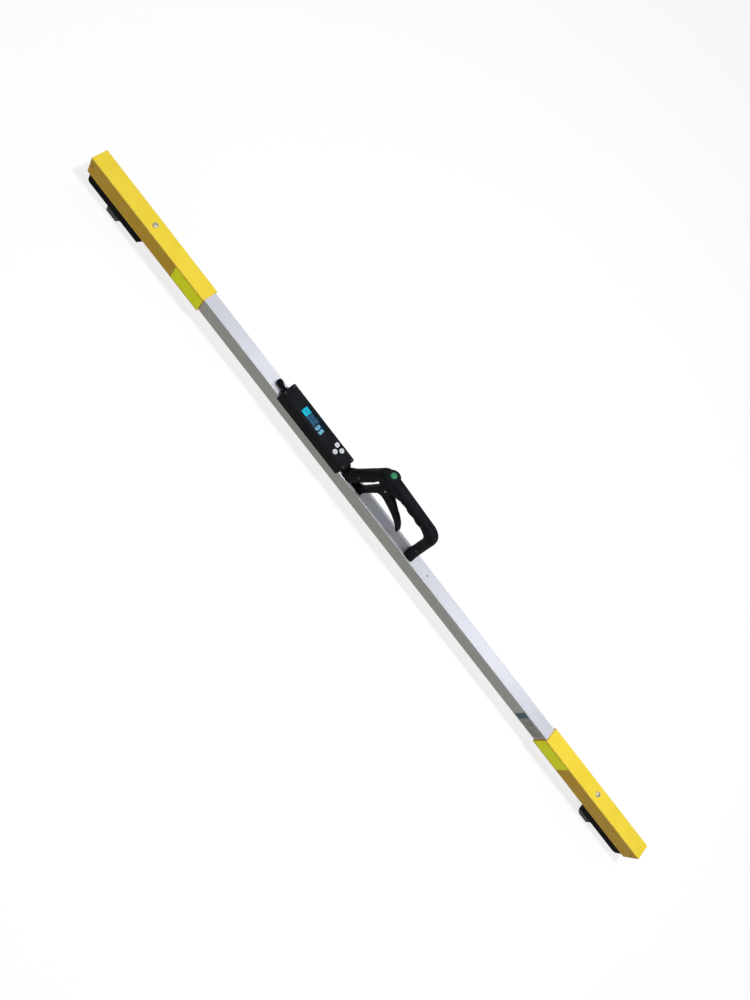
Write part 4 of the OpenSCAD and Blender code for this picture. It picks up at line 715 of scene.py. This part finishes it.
STRIP_LEFT = -70.5
STRIP_PAST = 2.0
STRIP_OVERLAP = 0.9
STRIP_GAP = 0.1
STRIP_RISE = 0.7
STRIP_LIP = 0.5
STRIP_CORNER = 0.3
PAD_LEFT = -97.2
PAD_GAP = 0.2
PAD_HALF_W = 8.6
PAD_LEFT_H = 3.0
PAD_RIGHT_H = 2.2
PAD_EDGE = 0.6


def bent_strip(x0, x1, half_w, z0, z1):
    """A flat strip with its long edges turned down, as an outline across the bar run along it."""
    inside, corner = half_w - STRIP_LIP, half_w - STRIP_CORNER
    outline = [
        (-half_w, z0), (-half_w, z1 - STRIP_CORNER), (-corner, z1),
        (corner, z1), (half_w, z1 - STRIP_CORNER), (half_w, z0),
        (inside, z0), (inside, z1 - STRIP_LIP), (-inside, z1 - STRIP_LIP), (-inside, z0)]
    return skin([[(x, y, z) for y, z in outline] for x in (x0, x1)])


liner_low, liner_high = box_mm("slot_liner")
bar_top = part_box("bar_extrusion")[1].z / MM
strip = bent_strip(STRIP_LEFT, liner_high.x + STRIP_PAST, liner_high.y + STRIP_OVERLAP,
                   bar_top + STRIP_GAP, liner_high.z + STRIP_RISE)
link_piece("slot_strip", strip, "stop_head", "satin_aluminium")
pad_right = liner_low.x - PAD_GAP
pad = [(PAD_LEFT, bar_top), (pad_right, bar_top),
       (pad_right, bar_top + PAD_RIGHT_H), (PAD_LEFT, bar_top + PAD_LEFT_H)]
round_edges(link_piece("slot_pad", plate(pad, -PAD_HALF_W, PAD_HALF_W), "beam", "black_rubber"), PAD_EDGE)


# Display behind the window: dark glass, a lit block, dim rows of digits and two large ones

WINDOW_X = -225.975
LCD_Z = 98.64
GLASS_T = 0.1
BLOCK_T = 0.06
DIM_T = 0.04
DIGIT_T = 0.1
ROW_T = 0.06
DIGIT_PITCH = 1.45
# Patches as left and right from the window's middle, near and far
GLASS = (-29.0, 29.0, -9.4, 9.4)
BLOCK = (-26.6, -13.0, -6.6, 7.6)
DIM = (-12.4, 8.6, -7.4, 7.8)
SEGMENTS = {
    "0": "abcdef", "1": "bc", "2": "abged", "3": "abgcd", "4": "fgbc", "5": "afgcd", "8": "abcdefg"}


def slab(bm, x0, x1, y0, y1, z0, z1):
    """A box, added to a mesh."""
    for v in bmesh.ops.create_cube(bm, size=1)["verts"]:
        x, y, z = v.co
        v.co = Vector((x0 if x < 0 else x1, y0 if y < 0 else y1, z0 if z < 0 else z1)) * MM


def digit(bm, mark, x, y, w, h, t, z0, z1):
    """A seven-segment numeral standing on (x, y)."""
    right, top, middle = x + w, y + h, y + h / 2
    bars = {
        "a": (x, right, top - t, top),
        "g": (x, right, y + (h - t) / 2, y + (h + t) / 2),
        "d": (x, right, y, y + t),
        "f": (x, x + t, middle, top),
        "b": (right - t, right, middle, top),
        "e": (x, x + t, y, middle),
        "c": (right - t, right, y, middle),
    }
    for name in SEGMENTS[mark]:
        slab(bm, *bars[name], z0, z1)


def lcd_patch(name, paint, patch, on, thick):
    """A flat lit patch of the display, on a layer of some height."""
    x0, x1, y0, y1 = patch
    bm = bmesh.new()
    slab(bm, WINDOW_X + x0, WINDOW_X + x1, y0, y1, LCD_Z + on, LCD_Z + on + thick)
    link_piece(name, bm, "beam", "display", material=paint)


def lcd_numbers(name, paint, thick, *numbers):
    """Numbers on the display, as marks, place along and across, width, height, stroke and layer."""
    bm = bmesh.new()
    for marks, x, y, w, h, t, on in numbers:
        for i, mark in enumerate(marks):
            digit(bm, mark, WINDOW_X + x + i * w * DIGIT_PITCH, y, w, h, t, LCD_Z + on, LCD_Z + on + thick)
    link_piece(name, bm, "beam", "display", material=paint)


lcd_patch("lcd_glass", LCD_DARK, GLASS, 0.0, GLASS_T)
lcd_patch("lcd_block", LCD_BLOCK, BLOCK, GLASS_T, BLOCK_T)
lcd_numbers("lcd_digits", LCD_DIGITS, DIGIT_T, ("35", 11.4, -7.0, 6.4, 10.6, 2.4, GLASS_T))
lcd_patch("lcd_dim", LCD_DIM, DIM, GLASS_T, DIM_T)
lcd_numbers("lcd_rows", LCD_ROWS, ROW_T,
            ("14", -24.0, -3.6, 3.2, 7.6, 0.8, GLASS_T + BLOCK_T),
            ("0012", -10.6, 1.4, 3.0, 4.6, 0.6, GLASS_T + DIM_T),
            ("0048", -10.6, -5.8, 3.0, 4.6, 0.6, GLASS_T + DIM_T))

# Three keys with dished caps and a ring on each, as (radius, height from the top of the key)
KEY_R = 4.75
KEY_CAP = [
    (0, -4.0), (KEY_R, -4.0), (KEY_R, -0.9), (KEY_R - 0.15, -0.45), (KEY_R - 0.6, -0.1), (KEY_R - 1.1, 0),
    (KEY_R - 1.9, -0.25), (0, -0.45)]
KEY_RING = [(1.1, -0.5), (2.3, -0.5), (2.3, -0.30), (1.1, -0.36), (1.1, -0.5)]
KEY_RING_STEPS = 40
for body, node in (("left_key", "key_left"), ("front_key", "key_front"), ("right_key", "key_right")):
    low, high = box_mm(node)
    centre = (low + high) / 2
    key_top = (centre.x, centre.y, high.z)
    link_piece(body + "_cap", lathe(KEY_CAP, key_top, UP), body, "white_key", [node])
    link_piece(body + "_mark", lathe(KEY_RING, key_top, UP, KEY_RING_STEPS), body, "key_mat_rubber")

# Wire duct from the box to the handle's foot
DUCT_LAP = 0.5
DUCT_LEN = 5.2
DUCT_Z = 82.0
DUCT_LEFT_TOP = 97.0
DUCT_RIGHT_TOP = 92.0
DUCT_NEAR, DUCT_FAR = -9.5, 8.5
DUCT_EDGE = 1.0
box_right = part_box("display_base")[1].x / MM
duct_left, duct_right = box_right - DUCT_LAP, box_right + DUCT_LEN
duct = [(duct_left, DUCT_Z), (duct_right, DUCT_Z), (duct_right, DUCT_RIGHT_TOP), (duct_left, DUCT_LEFT_TOP)]
round_edges(link_piece("wire_duct", plate(duct, DUCT_NEAR, DUCT_FAR), "beam", "black_rubber"), DUCT_EDGE)

# Collar and ribbed boot of the toggle, as (radius, height along the toggle)
TOGGLE = (-297.975, -2.5, 88.0)
TOGGLE_AXIS = (-0.978, 0.208, 0.0)
TOGGLE_STEPS = 48
BOOT_ANGLE = 50
COLLAR = [(5.0, 0.4), (7.4, 0.4), (7.2, 1.4), (6.3, 2.6), (5.6, 3.6), (5.0, 3.6), (5.0, 0.4)]
BOOT_FOOT = [(0, 4.4), (4.2, 4.4)]
BOOT_RIB = [(4.8, 5.0), (4.8, 5.6), (4.4, 6.0), (4.4, 6.4)]
BOOT_RIBS = 2
RIB_PITCH = 1.7
BOOT_BULB = [
    (4.5, 8.8), (5.1, 10.4), (5.6, 12.4), (5.9, 14.6), (5.9, 16.4), (5.6, 18.2), (5.0, 19.8), (4.0, 21.1),
    (2.6, 21.9), (1.2, 22.25), (0, 22.3)]
link_piece("toggle_collar", lathe(COLLAR, TOGGLE, (-1, 0, 0), TOGGLE_STEPS), "beam", "black_rubber")
boot_ribs = [(radius, height + RIB_PITCH * i) for i in range(BOOT_RIBS) for radius, height in BOOT_RIB]
boot = lathe(BOOT_FOOT + boot_ribs + BOOT_BULB, TOGGLE, TOGGLE_AXIS, TOGGLE_STEPS)
link_piece("toggle_cap", boot, "toggle", "black_rubber", ["toggle_boot"], angle=BOOT_ANGLE)


# Domed sleeve screws with hexagon sockets, over the flat heads of the CAD screws

FLAT_HEAD_R = 5.4
FLAT_HEAD_H = 2.6
SHANK_R = 2.9
DOME_R = 5.6
DOME_RIM = 0.6
DOME_H = 2.0
DOME_TURNS = (0.0, 0.3, 0.6, 0.9, 1.08)
SOCKET_R = 2.7
# Mouth and floor of the bore in the head, and the lining that makes it a hexagon
BORE = [(SOCKET_R + 0.25, 2.35), (SOCKET_R, 2.15), (SOCKET_R, 0.7), (0, 0.7)]
LINING = [
    (0, 0.75), (SOCKET_R - 0.05, 0.75), (SOCKET_R - 0.05, 2.1), (SOCKET_R - 0.5, 2.1), (SOCKET_R - 0.5, 1.1),
    (0, 0.9)]
HEXAGON = 6


def joined(bms):
    """One mesh out of several."""
    whole = bmesh.new()
    for bm in bms:
        mesh = bpy.data.meshes.new("part")
        bm.to_mesh(mesh)
        bm.free()
        whole.from_mesh(mesh)
        bpy.data.meshes.remove(mesh)
    return whole


screws_low, screws_high = box_mm("sleeve_screws")
sleeve_top = screws_high.z - FLAT_HEAD_H
screw_tops = [(x, 0, sleeve_top) for x in (screws_low.x + FLAT_HEAD_R, screws_high.x - FLAT_HEAD_R)]
shank = sleeve_top - screws_low.z
dome = [(DOME_R * math.cos(a), DOME_RIM + DOME_H * math.sin(a)) for a in DOME_TURNS]
head_profile = [(0, -shank), (SHANK_R, -shank), (SHANK_R, 0), (DOME_R, 0), *dome, *BORE]
heads = joined([lathe(head_profile, top, UP) for top in screw_tops])
link_piece("sleeve_screw_heads", heads, "beam", "bright_steel", ["sleeve_screws"], material=ZINC)
sockets = joined([lathe(LINING, top, UP, HEXAGON) for top in screw_tops])
link_piece("sleeve_screw_sockets", sockets, "beam", "bright_steel", material=ZINC)


# Fixed stop, square at its gauge face and round at its inner end

STOP_LEAN = 10.0
STOP_ROUND = 9.0
STOP_ROUND_STEPS = 8
STOP_EDGE = 0.8
STOP_BOLT_Y = 8.0
BOLT_HOLE_R = 2.1
BOLT_HEAD_HOLE_R = 3.9
BOLT_HEAD_DEPTH = 5.5
BOLT_HOLE_STEPS = 40
CUT_PAST = 1


def stop_level(low, high, z):
    """The stop's outline seen from above, at a height."""
    inner = low.x + STOP_LEAN * (high.z - z) / (high.z - low.z) + STOP_ROUND
    far = arc((inner, high.y - STOP_ROUND), STOP_ROUND, math.pi / 2, math.pi, STOP_ROUND_STEPS)
    near = arc((inner, low.y + STOP_ROUND), STOP_ROUND, math.pi, 3 * math.pi / 2, STOP_ROUND_STEPS)
    return [(x, y, z) for x, y in [(high.x, low.y), (high.x, high.y)] + far + near]


def stop_cutters(top):
    """Seat of the gauge face and stepped holes of the two bolts."""
    face_low, face_high = box_mm("fixed_gauge_face")
    seat = bmesh.new()
    slab(seat, face_low.x, face_high.x + CUT_PAST, face_low.y, face_high.y, face_low.z, face_high.z)
    bolts_low, bolts_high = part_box("fixed_stop_bolts")
    x = (bolts_low.x + bolts_high.x) / 2 / MM
    hole = [
        (0, -CUT_PAST), (BOLT_HEAD_HOLE_R, -CUT_PAST), (BOLT_HEAD_HOLE_R, BOLT_HEAD_DEPTH),
        (BOLT_HOLE_R, BOLT_HEAD_DEPTH), (BOLT_HOLE_R, top + CUT_PAST), (0, top + CUT_PAST)]
    return [seat] + [lathe(hole, (x, y, 0), UP, BOLT_HOLE_STEPS) for y in (-STOP_BOLT_Y, STOP_BOLT_Y)]


stop_low, stop_high = box_mm("fixed_stop")
stop_levels = [stop_level(stop_low, stop_high, z) for z in (stop_low.z, stop_high.z)]
stop = link_piece("fixed_stop_block", skin(stop_levels), "beam", "stop_steel", ["fixed_stop"])
cut(stop, stop_cutters(stop_high.z))
round_edges(stop, STOP_EDGE)


# Return spring, which shortens as the movable stop slides in; here a fixed coil wound in the CAD spring's box

SPRING_TURNS = 14
SPRING_WIRE_R = 0.8


def coil(low, high, turns, wire_r, steps=24, sides=10):
    """A round wire wound along the bar between two corners of a box."""
    radius = (high.y - low.y) / 2 - wire_r
    axis_z = (low.z + high.z) / 2
    length = high.x - low.x - 2 * wire_r
    rings = []
    for k in range(turns * steps + 1):
        a = 2 * math.pi * k / steps
        ring = []
        for i in range(sides):
            b = 2 * math.pi * i / sides
            r = radius + wire_r * math.cos(b)
            x = low.x + wire_r + length * k / (turns * steps) + wire_r * math.sin(b)
            ring.append((x, r * math.cos(a), axis_z + r * math.sin(a)))
        rings.append(ring)
    return skin(rings)


spring_low, spring_high = box_mm("return_spring")
spring = link_piece("return_coil", coil(spring_low, spring_high, SPRING_TURNS, SPRING_WIRE_R),
                    "beam", "bright_steel", ["return_spring"])
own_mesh(spring)


# Every CAD node gets its slot's material, and the large ones softened edges

EDGES = {
    "bar_extrusion": 0.8, "left_end_sleeve": 1.1, "right_end_sleeve": 1.1, "left_shoe": 1.2,
    "right_shoe": 1.2, "movable_stop": 1.5, "display_base": 0.5, "display_cover": 0.8,
    "foot_gaskets": 0.4, "slot_liner": 0.4,
}
WELD_GAP = 0.002
FLAT_ANGLE = 0.5
SLOTS = {row["node"]: row["material_slot"] for row in frame["record"]["subparts"]}
for name, node in frame["nodes"].items():
    node.data.materials.clear()
    node.data.materials.append(PAINTS[SLOTS[name]].material)
    if name in EDGES:
        node.modifiers.new("weld", "WELD").merge_threshold = WELD_GAP * MM
        flat = node.modifiers.new("flat", "DECIMATE")
        flat.decimate_type = "DISSOLVE"
        flat.angle_limit = math.radians(FLAT_ANGLE)
        round_edges(node, EDGES[name])


# Studio, in metres

FLOOR_HALF = 30
FLOOR_Z = -0.0002
FLOOR_GLOW = 0.78
FLOOR_SEEN = (0.26, 0.26, 0.26, 1)
FLOOR_BOUNCE = (0.32, 0.30, 0.265, 1)
SKY_COLOUR = (1, 1, 1, 1)
SKY_SEEN = 0.84
SKY_LIGHT = 0.22
SKY_TINT = (0.97, 0.985, 1.0, 1)
# Lamps as name, place, target, size and power; back and glint show as glare on the bar's top
LAMPS = [
    ("overhead", (0.1, 0.02, 2.7), (0.1, 0, 0), 0.28, 47.5),
    ("back", (1.26, 1.39, 2.6), (0.3, 0, 0.08), 0.6, 6),
    ("glint", (-0.52, 1.39, 2.6), (-0.34, 0, 0.08), 0.24, 2.6),
    ("fill", (-1.2, -2.6, 1.4), (0, 0, 0.1), 1.5, 5),
]


def seen_directly(nodes, links):
    """1 for camera, glossy and transmission rays, 0 for light on its way to a dull surface."""
    rays = nodes.new("ShaderNodeLightPath")
    seen = rays.outputs["Is Camera Ray"]
    for name in ("Is Glossy Ray", "Is Transmission Ray"):
        either = nodes.new("ShaderNodeMath")
        either.operation = "MAXIMUM"
        links.new(seen, either.inputs[0])
        links.new(rays.outputs[name], either.inputs[1])
        seen = either.outputs[0]
    return seen


def show_and_cast(nodes, links, shown, cast, out):
    """Gives an output one shader where it is seen and another for the light that it casts."""
    mix = nodes.new("ShaderNodeMixShader")
    links.new(seen_directly(nodes, links), mix.inputs[0])
    links.new(cast.outputs[0], mix.inputs[1])
    links.new(shown.outputs[0], mix.inputs[2])
    links.new(mix.outputs[0], out.inputs["Surface"])


def floor_material():
    """Pale floor that looks white, keeps the shadow and sends little light back up."""
    material = bpy.data.materials.new("floor")
    material.use_nodes = True
    nodes, links = material.node_tree.nodes, material.node_tree.links
    nodes.clear()
    glow = nodes.new("ShaderNodeEmission")
    glow.inputs["Strength"].default_value = FLOOR_GLOW
    edge_highlight_colour = nodes.new("ShaderNodeBsdfDiffuse")
    edge_highlight_colour.inputs["Color"].default_value = FLOOR_SEEN
    both = nodes.new("ShaderNodeAddShader")
    links.new(glow.outputs[0], both.inputs[0])
    links.new(edge_highlight_colour.outputs[0], both.inputs[1])
    dimmer = nodes.new("ShaderNodeBsdfDiffuse")
    dimmer.inputs["Color"].default_value = FLOOR_BOUNCE
    show_and_cast(nodes, links, both, dimmer, nodes.new("ShaderNodeOutputMaterial"))
    return material


def lay_floor():
    bm = bmesh.new()
    bmesh.ops.create_grid(bm, x_segments=1, y_segments=1, size=FLOOR_HALF)
    mesh = bpy.data.meshes.new("floor")
    bm.to_mesh(mesh)
    bm.free()
    mesh.materials.append(floor_material())
    floor = bpy.data.objects.new("floor", mesh)
    floor.location.z = FLOOR_Z
    bpy.context.scene.collection.objects.link(floor)


def light_sky():
    """A soft sky that looks like the far floor, and lights more gently than it looks."""
    world = bpy.data.worlds.new("studio")
    bpy.context.scene.world = world
    world.use_nodes = True
    nodes, links = world.node_tree.nodes, world.node_tree.links
    shown = nodes["Background"]
    shown.inputs["Color"].default_value = SKY_COLOUR
    shown.inputs["Strength"].default_value = SKY_SEEN
    cast = nodes.new("ShaderNodeBackground")
    cast.inputs["Color"].default_value = SKY_TINT
    cast.inputs["Strength"].default_value = SKY_LIGHT
    show_and_cast(nodes, links, shown, cast, nodes["World Output"])


def area_light(name, location, target, size, power):
    data = bpy.data.lights.new(name, "AREA")
    data.shape = "DISK"
    data.size = size
    data.energy = power
    light = bpy.data.objects.new(name, data)
    light.location = location
    light.rotation_mode = "QUATERNION"
    light.rotation_quaternion = (Vector(target) - Vector(location)).to_track_quat("-Z", "Y")
    light.visible_camera = False
    bpy.context.scene.collection.objects.link(light)


lay_floor()
light_sky()
for lamp in LAMPS:
    area_light(*lamp)

# Camera at the photograph's angle; its focal length is a share of the frame's height
CAMERA_RIGHT = Vector((0.60892384, 0.65302738, 0.45029656))
CAMERA_DOWN = Vector((0.78419959, -0.5809999, -0.21787638))
CAMERA_FORWARD = Vector((0.11934301, 0.4857925, -0.8658885))
CAMERA_PLACE = Vector((-241.779, -784.883, 1498.482)) * MM
FOCAL = 0.911821
SENSOR = 36.0
camera_data = bpy.data.cameras.new("camera")
camera_data.sensor_width = SENSOR
camera_data.lens = FOCAL * SENSOR
camera = bpy.data.objects.new("camera", camera_data)
camera_turn = Matrix((CAMERA_RIGHT, -CAMERA_DOWN, -CAMERA_FORWARD)).transposed().to_4x4()
camera.matrix_world = Matrix.Translation(CAMERA_PLACE) @ camera_turn
bpy.context.scene.collection.objects.link(camera)
bpy.context.scene.camera = camera
bpy.context.scene.view_settings.view_transform = "Standard"
